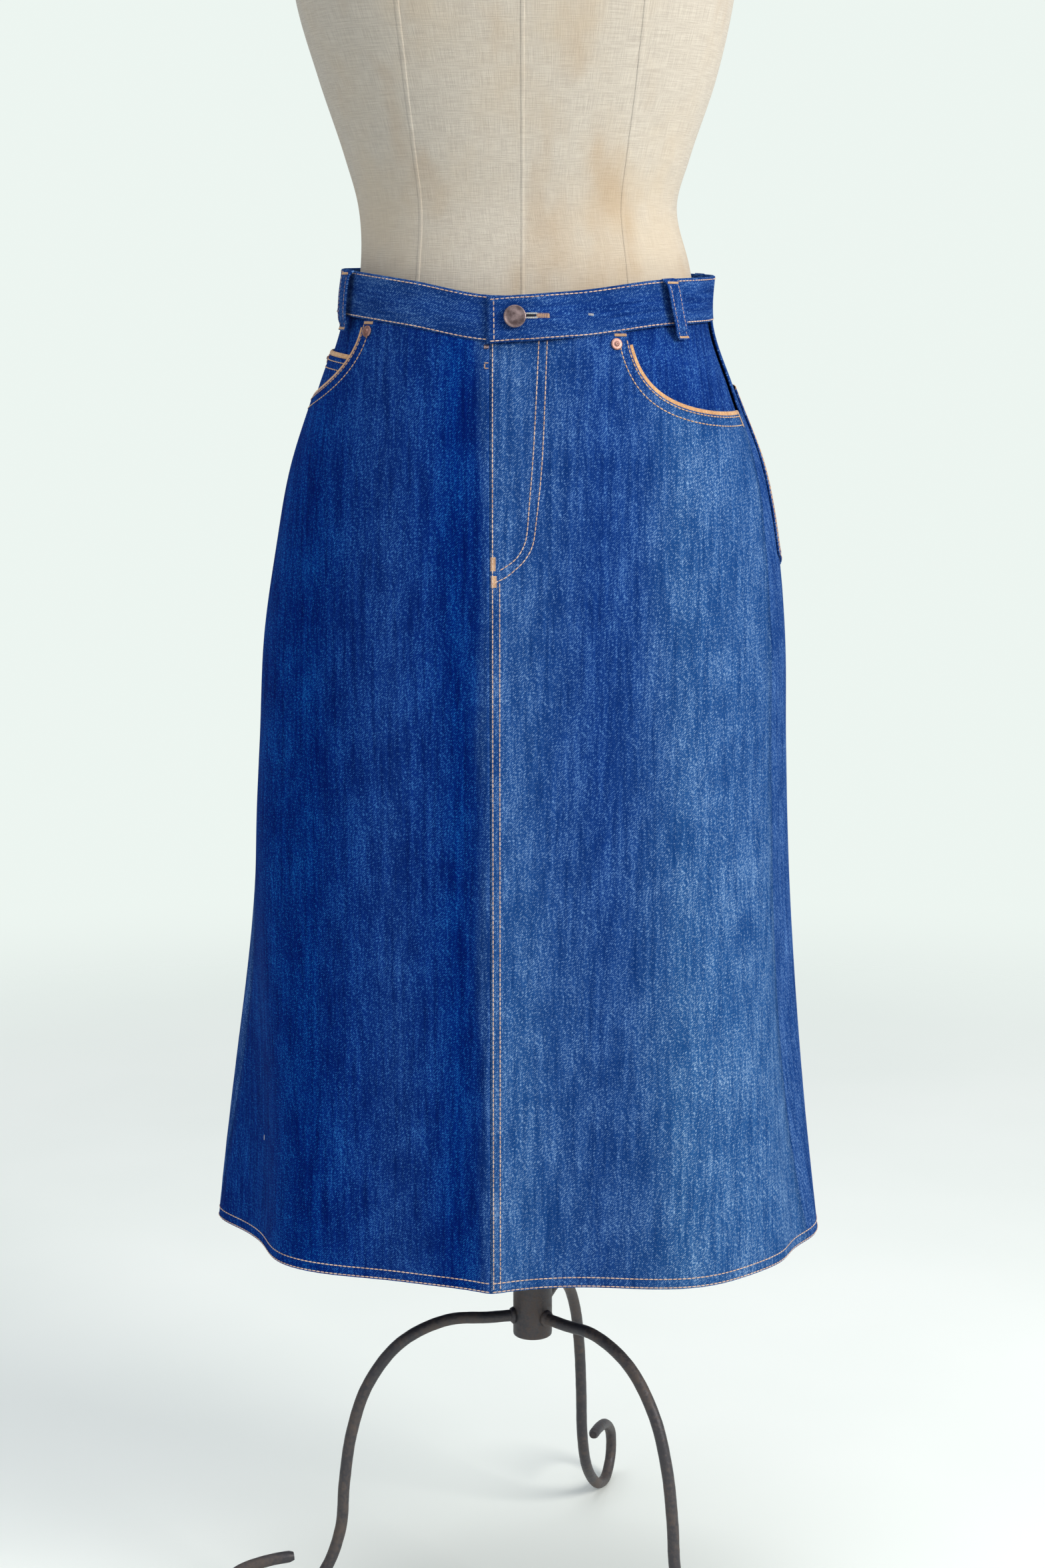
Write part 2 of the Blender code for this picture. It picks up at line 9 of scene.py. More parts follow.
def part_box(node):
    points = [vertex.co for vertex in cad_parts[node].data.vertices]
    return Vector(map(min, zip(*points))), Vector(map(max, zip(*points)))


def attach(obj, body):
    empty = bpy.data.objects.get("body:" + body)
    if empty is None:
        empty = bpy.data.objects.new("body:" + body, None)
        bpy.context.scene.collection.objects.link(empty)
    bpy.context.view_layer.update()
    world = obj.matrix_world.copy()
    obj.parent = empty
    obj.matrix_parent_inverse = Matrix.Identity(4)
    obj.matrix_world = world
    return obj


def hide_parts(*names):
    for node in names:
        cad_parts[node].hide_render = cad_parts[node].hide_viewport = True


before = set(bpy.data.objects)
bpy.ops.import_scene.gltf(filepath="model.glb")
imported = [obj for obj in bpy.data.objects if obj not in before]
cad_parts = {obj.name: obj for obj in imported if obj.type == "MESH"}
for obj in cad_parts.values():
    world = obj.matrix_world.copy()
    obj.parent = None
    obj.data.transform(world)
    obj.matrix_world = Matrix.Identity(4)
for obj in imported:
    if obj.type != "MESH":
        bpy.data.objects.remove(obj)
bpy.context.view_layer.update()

# ---- Front panels ------------------------------------------------------------------------------
# Two panels of raw indigo denim, cut on the straight grain with the warp down the centre front.
# Each has a scooped pocket mouth at its upper outer corner and a hem turned up inside and sewn.
# They hang from the waistband, over the form's hips, and stand in a soft keel at the front seam.
DENIM = 0.0014
HEM_Z = 0.340
HEM_TURN = 0.011
HEM_LOOP = 0.0008
BAND_WIDTH = 0.0345
BAND_THICK = 0.0030
FRONT_X = -0.025
# pocket mouths, wearer's left (1) and right (-1): the corner's distance from the centre front,
# the depth at the side seam, and how square the curve is
MOUTHS = {1: (0.1060, 0.0720, 2.7), -1: (0.1110, 0.0690, 2.2)}
GAP = 0.0003

# the garment's upright axis, from the neck cap, whose middle leans a little off it
cap_low, cap_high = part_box("neck_cap")
AXIS = Vector(((cap_low[0] + cap_high[0]) / 2 + 0.006, (cap_low[1] + cap_high[1]) / 2, 0.0))

# a row for each height: half-widths to the wearer's right and left, reach to the front and back,
# squareness, the keel at the centre front, and the side seam's share of the way round
SKIRT_ROWS = (
    (1.140, 0.1420, 0.1525, 0.1020, 0.0900, 2.05, 0.001, 0.262),
    (1.095, 0.1478, 0.1510, 0.1070, 0.0990, 2.10, 0.002, 0.262),
    (1.044, 0.1650, 0.1680, 0.1160, 0.1180, 2.15, 0.004, 0.252),
    (0.980, 0.1860, 0.1930, 0.1230, 0.1340, 2.20, 0.006, 0.230),
    (0.915, 0.1985, 0.2060, 0.1280, 0.1420, 2.20, 0.008, 0.221),
    (0.850, 0.2085, 0.2125, 0.1310, 0.1450, 2.20, 0.010, 0.217),
    (0.760, 0.2140, 0.2155, 0.1340, 0.1470, 2.20, 0.012, 0.216),
    (0.600, 0.2245, 0.2235, 0.1370, 0.1500, 2.20, 0.014, 0.220),
    (0.450, 0.2400, 0.2370, 0.1390, 0.1540, 2.20, 0.016, 0.231),
    (0.340, 0.2520, 0.2500, 0.1395, 0.1580, 2.20, 0.017, 0.243),
)

# the large folds: degrees from the front, spread, depth at the hem, height where each dies out
FOLDS = (
    (45, 17, 0.0230, 1.00),
    (78, 8, -0.0120, 0.90),
    (-44, 14, -0.0060, 0.90),
    (-81, 13, -0.0270, 0.72),
    (-98, 7, 0.0170, 0.75),
    (-140, 18, 0.0100, 0.95),
    (128, 18, 0.0080, 0.95),
    (178, 20, -0.0070, 0.90),
)

# the smaller creases, each a soft ridge, or a trough where its depth is negative: share of the
# way round, height, width, length, depth and how far it leans in its length
CREASES = (
    (0.052, 0.760, 0.020, 0.230, -0.0016, 0.010),
    (0.098, 0.700, 0.030, 0.300, -0.0022, -0.012),
    (0.150, 0.860, 0.022, 0.180, 0.0014, 0.012),
    (0.165, 0.560, 0.026, 0.210, 0.0018, -0.010),
    (0.028, 0.800, 0.014, 0.060, -0.0010, 0.030),
    (0.075, 0.470, 0.024, 0.140, 0.0012, 0.020),
    (-0.040, 0.800, 0.018, 0.260, -0.0012, 0.008),
    (-0.095, 0.720, 0.030, 0.280, 0.0020, 0.012),
    (-0.150, 0.880, 0.020, 0.160, -0.0014, -0.016),
    (-0.125, 0.520, 0.026, 0.190, -0.0016, 0.010),
    (-0.175, 0.640, 0.022, 0.240, 0.0016, -0.008),
    (0.205, 0.985, 0.016, 0.060, 0.0012, -0.030),
    (0.290, 0.800, 0.026, 0.260, -0.0018, 0.012),
    (0.350, 0.640, 0.032, 0.300, 0.0022, -0.014),
    (0.410, 0.840, 0.020, 0.170, -0.0014, 0.018),
    (0.460, 0.520, 0.026, 0.200, 0.0018, 0.008),
    (-0.300, 0.740, 0.028, 0.280, 0.0020, -0.010),
    (-0.365, 0.600, 0.030, 0.240, -0.0020, 0.016),
    (-0.425, 0.820, 0.022, 0.180, 0.0014, -0.014),
    (-0.470, 0.480, 0.024, 0.160, -0.0016, 0.010),
)

# the waistband's top edge: share of the way round, height
WAIST_LINE = (
    (-0.50, 1.1380), (-0.25, 1.1375), (-0.18, 1.1355), (-0.08, 1.1265), (0.00, 1.1155),
    (0.08, 1.1185), (0.17, 1.1270), (0.25, 1.1300), (0.50, 1.1380),
)


def row_at(rows, at):
    """A table's sizes at one value of its first column, on a smooth curve through its rows."""
    table = np.array(sorted(rows))
    marks = table[:, 0]
    at = min(max(at, marks[0]), marks[-1])
    i = int(min(max(np.searchsorted(marks, at) - 1, 0), len(marks) - 2))
    slopes = np.gradient(table[:, 1:], marks, axis=0)
    span = marks[i + 1] - marks[i]
    t = (at - marks[i]) / span
    return ((2 * t**3 - 3 * t**2 + 1) * table[i, 1:] + (t**3 - 2 * t**2 + t) * span * slopes[i]
            + (3 * t**2 - 2 * t**3) * table[i + 1, 1:] + (t**3 - t**2) * span * slopes[i + 1])


def wrapped(angle):
    return (angle + math.pi) % (2 * math.pi) - math.pi


def eased(t):
    """0 to 1, easing in and out."""
    return t * t * (3 - 2 * t)


def oval(angle, minus_x, plus_x, front, back, square):
    """Radius of a squared-off oval, angle 0 to the front and growing towards the wearer's left."""
    wide = np.where(np.sin(angle) > 0, plus_x, minus_x)
    deep = np.where(np.cos(angle) > 0, front, back)
    return (np.abs(np.sin(angle) / wide)**square + np.abs(np.cos(angle) / deep)**square)**(-1 / square)


SHARES = np.linspace(0, 1, 961)
LEVELS = np.arange(0.325, 1.1501, 0.0025)


def skirt_ring(z):
    """One level of the skirt, at even shares of its length from the centre front, and its girth."""
    right, left, front, back, square, keel, _ = row_at(SKIRT_ROWS, z)
    lead = math.atan2(FRONT_X, front + keel)
    angle = lead + np.linspace(0, 2 * math.pi, 1441)
    radius = oval(angle, right, left, front, back, square)
    off = np.hypot(wrapped(angle - lead), math.radians(1.5)) - math.radians(1.5)
    radius = radius + keel * np.exp(-off / math.radians(11.0))
    for degrees, spread, depth, top in FOLDS:
        fade = min(max((top - z) / (top - HEM_Z), 0.0), 1.0)
        away = wrapped(angle - math.radians(degrees)) / math.radians(spread)
        radius = radius + depth * eased(fade) * np.exp(-away**2)
    x, y = radius * np.sin(angle), -radius * np.cos(angle)
    length = np.concatenate(([0.0], np.cumsum(np.hypot(np.diff(x), np.diff(y)))))
    along = SHARES * length[-1]
    return np.interp(along, length, x), np.interp(along, length, y), length[-1]


rings = [skirt_ring(z) for z in LEVELS]
skirt_x = np.array([r[0] for r in rings])
skirt_y = np.array([r[1] for r in rings])
girths = np.array([r[2] for r in rings])
step_x, step_y = np.gradient(skirt_x, axis=1), np.gradient(skirt_y, axis=1)
step_size = np.hypot(step_x, step_y)
crease_depth = np.zeros_like(skirt_x)
for share, height, width, length, depth, lean in CREASES:
    rise = (LEVELS[:, None] - height) / length
    away = (SHARES[None, :] - share % 1.0 + 0.5) % 1.0 - 0.5
    away = away * girths[:, None] - lean * rise
    crease_depth += depth * np.exp(-(away / width)**2) * np.exp(-(rise * 1.6)**4)
skirt_x += crease_depth * step_y / step_size
skirt_y -= crease_depth * step_x / step_size
across_way = np.stack((step_x, step_y, np.zeros_like(step_x)), axis=-1)
up_way = np.stack((np.gradient(skirt_x, LEVELS, axis=0), np.gradient(skirt_y, LEVELS, axis=0),
                   np.ones_like(skirt_x)), axis=-1)
outward = np.cross(across_way, up_way)
outward /= np.linalg.norm(outward, axis=-1)[..., None]


def looked_up(grid, share, z):
    """A value of the skirt's form at shares and heights, between its nearest four points."""
    column = (np.asarray(share) % 1.0) * (len(SHARES) - 1)
    row = np.clip((np.asarray(z) - LEVELS[0]) / (LEVELS[1] - LEVELS[0]), 0, len(LEVELS) - 1.001)
    j, i = np.floor(column).astype(int), np.floor(row).astype(int)
    j = np.minimum(j, len(SHARES) - 2)
    s, t = column - j, row - i
    if grid.ndim == 3:
        s, t = s[..., None], t[..., None]
    return ((grid[i, j] * (1 - s) + grid[i, j + 1] * s) * (1 - t)
            + (grid[i + 1, j] * (1 - s) + grid[i + 1, j + 1] * s) * t)


def on_skirt(share, z, out=0.0):
    """Points at shares and heights, moved out from the middle of the cloth."""
    share, z = np.broadcast_arrays(np.asarray(share, float), np.asarray(z, float))
    way = looked_up(outward, share, z)
    place = np.stack((looked_up(skirt_x, share, z), looked_up(skirt_y, share, z), z), axis=-1)
    return place + way * np.asarray(out, float)[..., None] + np.array(AXIS)


def girth(z):
    return np.interp(z, LEVELS, girths)


def grain_at(share, z):
    """The grain where a piece's warp hangs straight down from its own place."""
    return np.stack((share * girth(z), z), axis=1)


def side_seam(z):
    """Share of the way round at the wearer's left side seam."""
    rows = np.array(sorted(SKIRT_ROWS))
    marks = np.linspace(rows[0, 0], rows[-1, 0], 200)
    return np.interp(z, marks, [row_at(SKIRT_ROWS, m)[-1] for m in marks])


def waist_top(share):
    marks = np.linspace(-0.5, 0.5, 200)
    share = (np.asarray(share, float) + 0.5) % 1.0 - 0.5
    return np.interp(share, marks, [row_at(WAIST_LINE, m)[0] for m in marks])


def waist_seam(share):
    return waist_top(share) - BAND_WIDTH


def mouth_place(side, turn, rise=0.0):
    """A place on a pocket mouth, as a fraction of the front panel and a height: turn runs from 0
    at the corner on the waist seam to a quarter turn at the side seam, rise lies above the edge.
    Side is 1 on the wearer's left and -1 on the right."""
    length = float(side_seam(1.05) * girth(1.05))
    from_front, depth, square = MOUTHS[side]
    corner = from_front / float(side_seam(1.09) * girth(1.09))
    reach = np.maximum(np.cos(turn), 0.0)**(2 / square)
    drop = np.sin(turn)**(2 / square)
    across = 1 - (1 - corner) * reach + rise * np.cos(turn) / length
    return across, waist_seam(side * 0.25 * across) - depth * drop + rise * np.sin(turn)


def placed(name, form):
    """An object in the scene, made of a bmesh, which is used up, or of ready data."""
    if isinstance(form, bmesh.types.BMesh):
        for face in form.faces:
            face.smooth = True
        mesh = bpy.data.meshes.new(name)
        form.to_mesh(mesh)
        form.free()
        form = mesh
    made = bpy.data.objects.new(name, form)
    bpy.context.scene.collection.objects.link(made)
    return made


def cut_cloth(name, across, along, put, thick):
    """A piece of cloth cut as a flat grid and laid in place: put takes the grid's two fractions
    and gives the points and the grain in metres. Solidify gives it its thickness."""
    bm = bmesh.new()
    bmesh.ops.create_grid(bm, x_segments=across, y_segments=along, size=0.5)
    flat = np.array([v.co[:2] for v in bm.verts]) + 0.5
    places, grain = put(flat[:, 0], flat[:, 1])
    layer = bm.loops.layers.uv.new("grain")
    for vert, place in zip(bm.verts, places):
        vert.co = place
    for face in bm.faces:
        for loop in face.loops:
            loop[layer].uv = grain[loop.vert.index]
    piece = placed(name, bm)
    if thick:
        shell = piece.modifiers.new("thickness", "SOLIDIFY")
        shell.thickness = thick
        shell.offset = 0.0
    return piece


def finish_piece(piece, look, slot, *nodes):
    """Gives a piece its material, its body and the frame nodes it stands for; slot is not used."""
    piece.data.materials.append(look)
    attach(piece, "root")
    if nodes:
        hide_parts(*nodes)
    return piece


def new_look(name, **constants):
    """A material with its tree and shader: constants go on the shader's own sockets."""
    look = bpy.data.materials.new(name)
    look.use_nodes = True
    shader = look.node_tree.nodes["Principled BSDF"]
    for label, value in constants.items():
        shader.inputs[label.replace("_", " ")].default_value = value
    return look, look.node_tree, shader


def node(tree, kind, **settings):
    """Adds a node, with its properties by name."""
    made = tree.nodes.new(kind)
    for key, value in settings.items():
        setattr(made, key, value)
    return made


def feed(tree, socket, value):
    """Sets a socket to a number or a colour, or links another node's output to it."""
    if isinstance(value, (int, float)):
        socket.default_value = value
    elif isinstance(value, tuple):
        socket.default_value = (*value, 1.0)
    else:
        tree.links.new(value, socket)


def finish_look(tree, shader, colour, height, depth, roughness=None):
    """Gives a shader its colour, a fine relief of a depth in metres, and its roughness."""
    bump = node(tree, "ShaderNodeBump")
    feed(tree, bump.inputs["Distance"], depth)
    feed(tree, bump.inputs["Height"], height)
    feed(tree, shader.inputs["Normal"], bump.outputs[0])
    feed(tree, shader.inputs["Base Color"], colour)
    if roughness is not None:
        feed(tree, shader.inputs["Roughness"], roughness)


def grain_of(tree):
    """The piece's grain in metres: across the warp, and along it."""
    return node(tree, "ShaderNodeUVMap", uv_map="grain").outputs[0]


def own_place(tree):
    return node(tree, "ShaderNodeTexCoord").outputs["Object"]


def woven(tree):
    """The twill's outputs on the piece's grain."""
    weave = node(tree, "ShaderNodeGroup", node_tree=twill)
    tree.links.new(grain_of(tree), weave.inputs["Grain"])
    return [weave.outputs[label] for label in ("Fleck", "Shade", "Height")]


def sums(tree, operation, *values):
    """A Math node whose inputs are numbers or other nodes' outputs."""
    made = node(tree, "ShaderNodeMath", operation=operation)
    for socket, value in zip(made.inputs, values):
        feed(tree, socket, value)
    return made.outputs[0]


def noise(tree, vector, stretch, detail=2.0, roughness=0.5):
    """Noise with its own stretch, in cells to the metre along each way."""
    scaled = node(tree, "ShaderNodeVectorMath", operation="MULTIPLY")
    scaled.inputs[1].default_value = stretch if isinstance(stretch, tuple) else (stretch,) * 3
    tree.links.new(vector, scaled.inputs[0])
    made = node(tree, "ShaderNodeTexNoise")
    for label, value in (("Scale", 1.0), ("Detail", detail), ("Roughness", roughness),
                         ("Vector", scaled.outputs[0])):
        feed(tree, made.inputs[label], value)
    return made.outputs[0]


def spread(tree, value, low, high, to_low=0.0, to_high=1.0):
    """Eases a value that runs from low to high into another range, and holds it there."""
    made = node(tree, "ShaderNodeMapRange", interpolation_type="SMOOTHSTEP")
    for label, number in (("From Min", low), ("From Max", high), ("To Min", to_low), ("To Max", to_high),
                          ("Value", value)):
        feed(tree, made.inputs[label], number)
    return made.outputs[0]


def blend_colours(tree, factor, first, second):
    made = node(tree, "ShaderNodeMix", data_type="RGBA")
    factor_socket, first_socket, second_socket = made.inputs[0], made.inputs[6], made.inputs[7]
    feed(tree, first_socket, first)
    feed(tree, second_socket, second)
    feed(tree, factor_socket, factor)
    return made.outputs[2]


def new_group(name, inputs, outputs):
    """A node group with named sockets: inputs and outputs are (name, kind) pairs."""
    group = bpy.data.node_groups.new(name, "ShaderNodeTree")
    for label, kind in inputs:
        group.interface.new_socket(label, in_out="INPUT", socket_type=kind)
    for label, kind in outputs:
        group.interface.new_socket(label, in_out="OUTPUT", socket_type=kind)
    return group, node(group, "NodeGroupInput"), node(group, "NodeGroupOutput")


# right-hand twill: blue warp with white weft that shows as flecks in diagonal rows, long slubs in
# the warp, and an uneven depth of dye
twill, twill_in, twill_out = new_group(
    "denim twill", (("Grain", "NodeSocketVector"),),
    (("Fleck", "NodeSocketFloat"), ("Shade", "NodeSocketFloat"), ("Height", "NodeSocketFloat")))
grain = twill_in.outputs["Grain"]
split = node(twill, "ShaderNodeSeparateXYZ")
twill.links.new(grain, split.inputs[0])
across_rib = sums(twill, "SUBTRACT", split.outputs[0], split.outputs[1])
along_rib = sums(twill, "ADD", split.outputs[0], split.outputs[1])
turned_grain = node(twill, "ShaderNodeCombineXYZ")
twill.links.new(across_rib, turned_grain.inputs[0])
twill.links.new(along_rib, turned_grain.inputs[1])
wander = noise(twill, grain, (70, 70, 1), 2.0)
slant = sums(twill, "MULTIPLY_ADD", across_rib, 2 * math.pi / 0.0017, sums(twill, "MULTIPLY", wander, 6.0))
ribs = sums(twill, "MULTIPLY_ADD", sums(twill, "SINE", slant), 0.5, 0.5)
dashes = noise(twill, turned_grain.outputs[0], (900, 330, 1), 2.0, 0.6)
columns = noise(twill, grain, (800, 130, 1), 1.0)
slubs = noise(twill, grain, (230, 14, 1), 3.0, 0.6)
patches = noise(twill, grain, (34, 19, 1), 4.0, 0.65)
lift = sums(twill, "MULTIPLY_ADD", patches, 0.26, sums(twill, "MULTIPLY", slubs, 0.22))
dots = sums(twill, "MULTIPLY_ADD", dashes, 1.0, lift)
dots = sums(twill, "MULTIPLY_ADD", columns, 0.26, dots)
dots = sums(twill, "MULTIPLY_ADD", ribs, 0.10, dots)
twill.links.new(spread(twill, dots, 0.93, 1.14), twill_out.inputs["Fleck"])
shade = sums(twill, "MULTIPLY_ADD", patches, 0.55, sums(twill, "MULTIPLY", slubs, 0.75))
shade = sums(twill, "MULTIPLY_ADD", ribs, 0.14, shade)
twill.links.new(spread(twill, shade, 0.38, 1.04), twill_out.inputs["Shade"])
relief = sums(twill, "MULTIPLY_ADD", dashes, 0.8, sums(twill, "MULTIPLY", ribs, 0.5))
twill.links.new(relief, twill_out.inputs["Height"])


WEAVE_RELIEF = 0.0003
# only the wearer's left front panel grows paler towards its foot, and that paleness is painted light
PAINTED_PALE_TOP, PAINTED_PALE_FOOT = 0.78, 0.50     # heights between which a panel grows paler downwards


def denim_cloth(name, tone_and_painted_light_stops, low=0.0):
    """Raw denim made paler across the piece by stops of (distance round from the centre front, 0 for
    deep blue to 1 for pale), and paler towards its foot by low. On the two front panels the stops
    and low are painted light and shade."""
    look, tree, shader = new_look(name, Roughness=0.9, Specular_IOR_Level=0.02, Sheen_Weight=0.015,
                                  Sheen_Roughness=0.5, Sheen_Tint=(0.25, 0.55, 1.0, 1.0))
    cloth_fleck, cloth_shade, cloth_height = woven(tree)
    place = node(tree, "ShaderNodeSeparateXYZ")
    tree.links.new(grain_of(tree), place.inputs[0])
    drift = noise(tree, grain_of(tree), (30, 6, 1), 3.0)
    at = sums(tree, "MULTIPLY_ADD", drift, 0.03, sums(tree, "ADD", place.outputs[0], 0.485))
    ramp = node(tree, "ShaderNodeValToRGB")
    while len(ramp.color_ramp.elements) < len(tone_and_painted_light_stops):
        ramp.color_ramp.elements.new(0.5)
    for element, (distance, tone) in zip(ramp.color_ramp.elements, tone_and_painted_light_stops):
        element.position = distance + 0.5
        element.color = (tone, tone, tone, 1.0)
    tree.links.new(at, ramp.inputs[0])
    # paleness from the stops, plus low towards the foot: on the front panels this is painted light and shade
    tone_and_painted_light = node(tree, "ShaderNodeSeparateColor")
    tree.links.new(ramp.outputs[0], tone_and_painted_light.inputs[0])
    tone_and_painted_light = sums(tree, "ADD", tone_and_painted_light.outputs[0],
                  spread(tree, place.outputs[1], PAINTED_PALE_TOP, PAINTED_PALE_FOOT, 0.0, low))
    deep = blend_colours(tree, tone_and_painted_light, (0.0002, 0.0055, 0.092), (0.007, 0.060, 0.210))
    mid = blend_colours(tree, tone_and_painted_light, (0.0004, 0.022, 0.215), (0.037, 0.142, 0.330))
    fleck = blend_colours(tree, tone_and_painted_light, (0.010, 0.125, 0.420), (0.360, 0.500, 0.660))
    dye = blend_colours(tree, cloth_shade, deep, mid)
    finish_look(tree, shader, blend_colours(tree, cloth_fleck, dye, fleck), cloth_height, WEAVE_RELIEF)
    return look


# the front panels' paleness is painted light and shade: the wearer's left panel, on the window side, is
# painted paler all over, with a painted highlight along the centre-front keel, a painted shaded hollow in its
# middle, and paler again towards its side; the wearer's right panel is painted deep, with a painted highlight
# in a strip beside the centre front seam and a fainter one further round
denim_left = denim_cloth("denim left front", (
    (0.000, 0.46), (0.030, 0.42), (0.055, 0.30), (0.085, 0.20), (0.115, 0.27), (0.150, 0.58),
    (0.200, 0.56), (0.330, 0.50)), low=0.14)
denim_right = denim_cloth("denim right front", (
    (-0.330, 0.02), (-0.200, 0.0), (-0.150, 0.0), (-0.080, 0.12), (-0.045, 0.05), (-0.028, 0.0),
    (-0.012, 0.03), (-0.004, 0.30)))


def hem_run(turned_rows, loop_rows, top_rows):
    """How each row of a panel runs from the raw edge inside, round the fold and up: its height
    over the hem for the first rows, the distance out, and the share of the rise for the rest."""
    rows = [(HEM_LOOP + (HEM_TURN - HEM_LOOP) * (1 - k / turned_rows), -2 * HEM_LOOP, None)
            for k in range(turned_rows)]
    for k in range(loop_rows + 1):
        turn = math.pi * k / loop_rows
        rows.append((HEM_LOOP - HEM_LOOP * math.sin(turn), -HEM_LOOP - HEM_LOOP * math.cos(turn), None))
    rows += [(HEM_LOOP, 0.0, k / top_rows) for k in range(1, top_rows + 1)]
    return rows


def lay_panel(fraction, row, runs, share_at, top_of, side, straight=0.0):
    """Points and grain of a panel's grid, from the hem's run and each column's top. The grain is
    straight along one share: the centre front, or the centre back."""
    steps = np.rint(row * (len(runs) - 1)).astype(int)
    height = np.array([r[0] for r in runs])[steps]
    out = np.array([r[1] for r in runs])[steps]
    rise = np.array([-1.0 if r[2] is None else r[2] for r in runs])[steps]
    top = top_of(fraction)
    start = HEM_Z + HEM_LOOP
    z = np.where(rise < 0, HEM_Z + height, start + (top - start) * np.maximum(rise, 0.0))
    share = share_at(fraction, z)
    clear = 0.5 * GAP / girth(z)
    share = np.where(share < 0.5 * clear, clear, share)
    grain_v = np.where(out < -HEM_LOOP, 2 * HEM_Z - z, z)
    return on_skirt(side * share, z, out), np.stack((side * (share - straight) * girth(z), grain_v), axis=1)


hem_rows = hem_run(4, 4, 130)
corners = {side: float(mouth_place(side, 0.0)[0]) for side in (1, -1)}
CORNER_COLUMN = 0.52
UNDER_BAND = 0.001      # how far a panel runs up under the band


def front_fraction(side, column):
    """A front panel's columns: even to the pocket's corner, then by the mouth's own turn."""
    turn = np.clip((column - CORNER_COLUMN) / (1 - CORNER_COLUMN), 0, 1) * math.pi / 2
    return np.where(column <= CORNER_COLUMN, corners[side] * column / CORNER_COLUMN,
                    mouth_place(side, turn)[0])


def front_top(side, column):
    """Height of a panel's top edge: under the band, then down the mouth."""
    turn = np.clip((column - CORNER_COLUMN) / (1 - CORNER_COLUMN), 0, 1) * math.pi / 2
    seam = waist_seam(side * 0.25 * front_fraction(side, column))
    return np.where(column <= CORNER_COLUMN, seam + UNDER_BAND, mouth_place(side, turn)[1])


for name, side, look in (("front_left", 1, denim_left), ("front_right", -1, denim_right)):
    def put_front(a, b, side=side):
        column = a if side > 0 else 1 - a
        return lay_panel(column, b, hem_rows, lambda c, z: front_fraction(side, c) * side_seam(z),
                         lambda c: front_top(side, c), side)

    panel = finish_piece(cut_cloth(name + "_cloth", 84, len(hem_rows) - 1, put_front, DENIM),
                         look, "denim", name)

# ---- Back panels -------------------------------------------------------------------------------
# Two plain back panels of the same denim, joined at the centre back and, at the side seams, to
# the fronts. They fall from the seat in broad soft folds to the same turned hem.
denim_back = denim_cloth("denim back", (
    (-0.350, 0.40), (-0.200, 0.25), (-0.080, 0.35), (0.000, 0.22), (0.080, 0.32), (0.200, 0.20),
    (0.350, 0.28)))
for name, side in (("back_left", 1), ("back_right", -1)):
    def put_back(a, b, side=side):
        column = a if side > 0 else 1 - a
        return lay_panel(
            column, b, hem_rows, lambda c, z: side_seam(z) + 0.0003 + c * (0.4998 - side_seam(z)),
            lambda c: waist_seam(side * (0.25 + 0.25 * c)) + UNDER_BAND, side, 0.5)

    panel = cut_cloth(name + "_cloth", 80, len(hem_rows) - 1, put_back, DENIM)
    finish_piece(panel, denim_back, "denim", name)

# ---- Waistband ---------------------------------------------------------------------------------
# One straight band folded over along its top edge and sewn round the waist, its ends lapped at
# the front, left over right. Its grain runs round the body, so its twill slants the other way.
denim_band = denim_cloth("denim waistband", (
    (-0.200, 0.26), (0.000, 0.30), (0.018, 0.16), (0.035, 0.34), (0.170, 0.22)))
LAP = 0.042
LAP_DROOP = 0.002
LAP_FREE, LAP_EASED = 0.075, 0.033   # where the over end starts to rise, and the length it takes
LAP_CORNER = 0.026
BAND_CLOTH = 0.0010
END_ROUND = 0.0016                   # how far in the band's ends and edges are thinned
band_around = float(girth(1.11))
band_start, band_end = -0.002 / band_around, 1.0 + LAP / band_around


def band_lift(share):
    """How far the over end is raised, and how far its corner droops."""
    ease = np.clip((LAP_FREE - share * band_around) / LAP_EASED, 0.0, 1.0)
    droop = LAP_DROOP * np.maximum(1 - np.maximum(share, 0) * band_around / LAP_CORNER, 0.0)**2
    return (BAND_THICK + GAP) * eased(ease), np.where(share < 0.2, droop, 0.0)


def put_band(a, b):
    """The band's grid: b runs up the outside, over the folded top and down the inside."""
    share = band_start + (band_end - band_start) * a
    lift, droop = band_lift(share)
    half = (BAND_THICK - BAND_CLOTH) / 2
    run = b * (2 * BAND_WIDTH + math.pi * half)
    turn = np.clip((run - BAND_WIDTH) / half, 0, math.pi)
    up = np.where(run < BAND_WIDTH, run, BAND_WIDTH + half * np.sin(turn))
    up = np.where(run > BAND_WIDTH + math.pi * half, 2 * BAND_WIDTH + math.pi * half - run, up)
    end_gap = np.minimum(a, 1 - a) * (band_end - band_start) * band_around
    pinch = np.sqrt(1 - (1 - np.clip(end_gap / END_ROUND, 0, 1))**2)
    edge = np.clip(np.minimum(run, 2 * BAND_WIDTH + math.pi * half - run) / END_ROUND, 0, 1)
    pinch = pinch * (0.45 + 0.55 * edge)
    z = waist_seam(share) + (up - half * (up > BAND_WIDTH)) - droop
    soft = 0.0003 * np.sin(share * band_around * 190) * np.sin(math.pi * b)
    return (on_skirt(share, z, lift + half * np.cos(turn) * pinch + soft),
            np.stack((up, share * band_around), axis=1))


band = cut_cloth("waistband_cloth", 330, 36, put_band, BAND_CLOTH)
finish_piece(band, denim_band, "denim", "waistband")

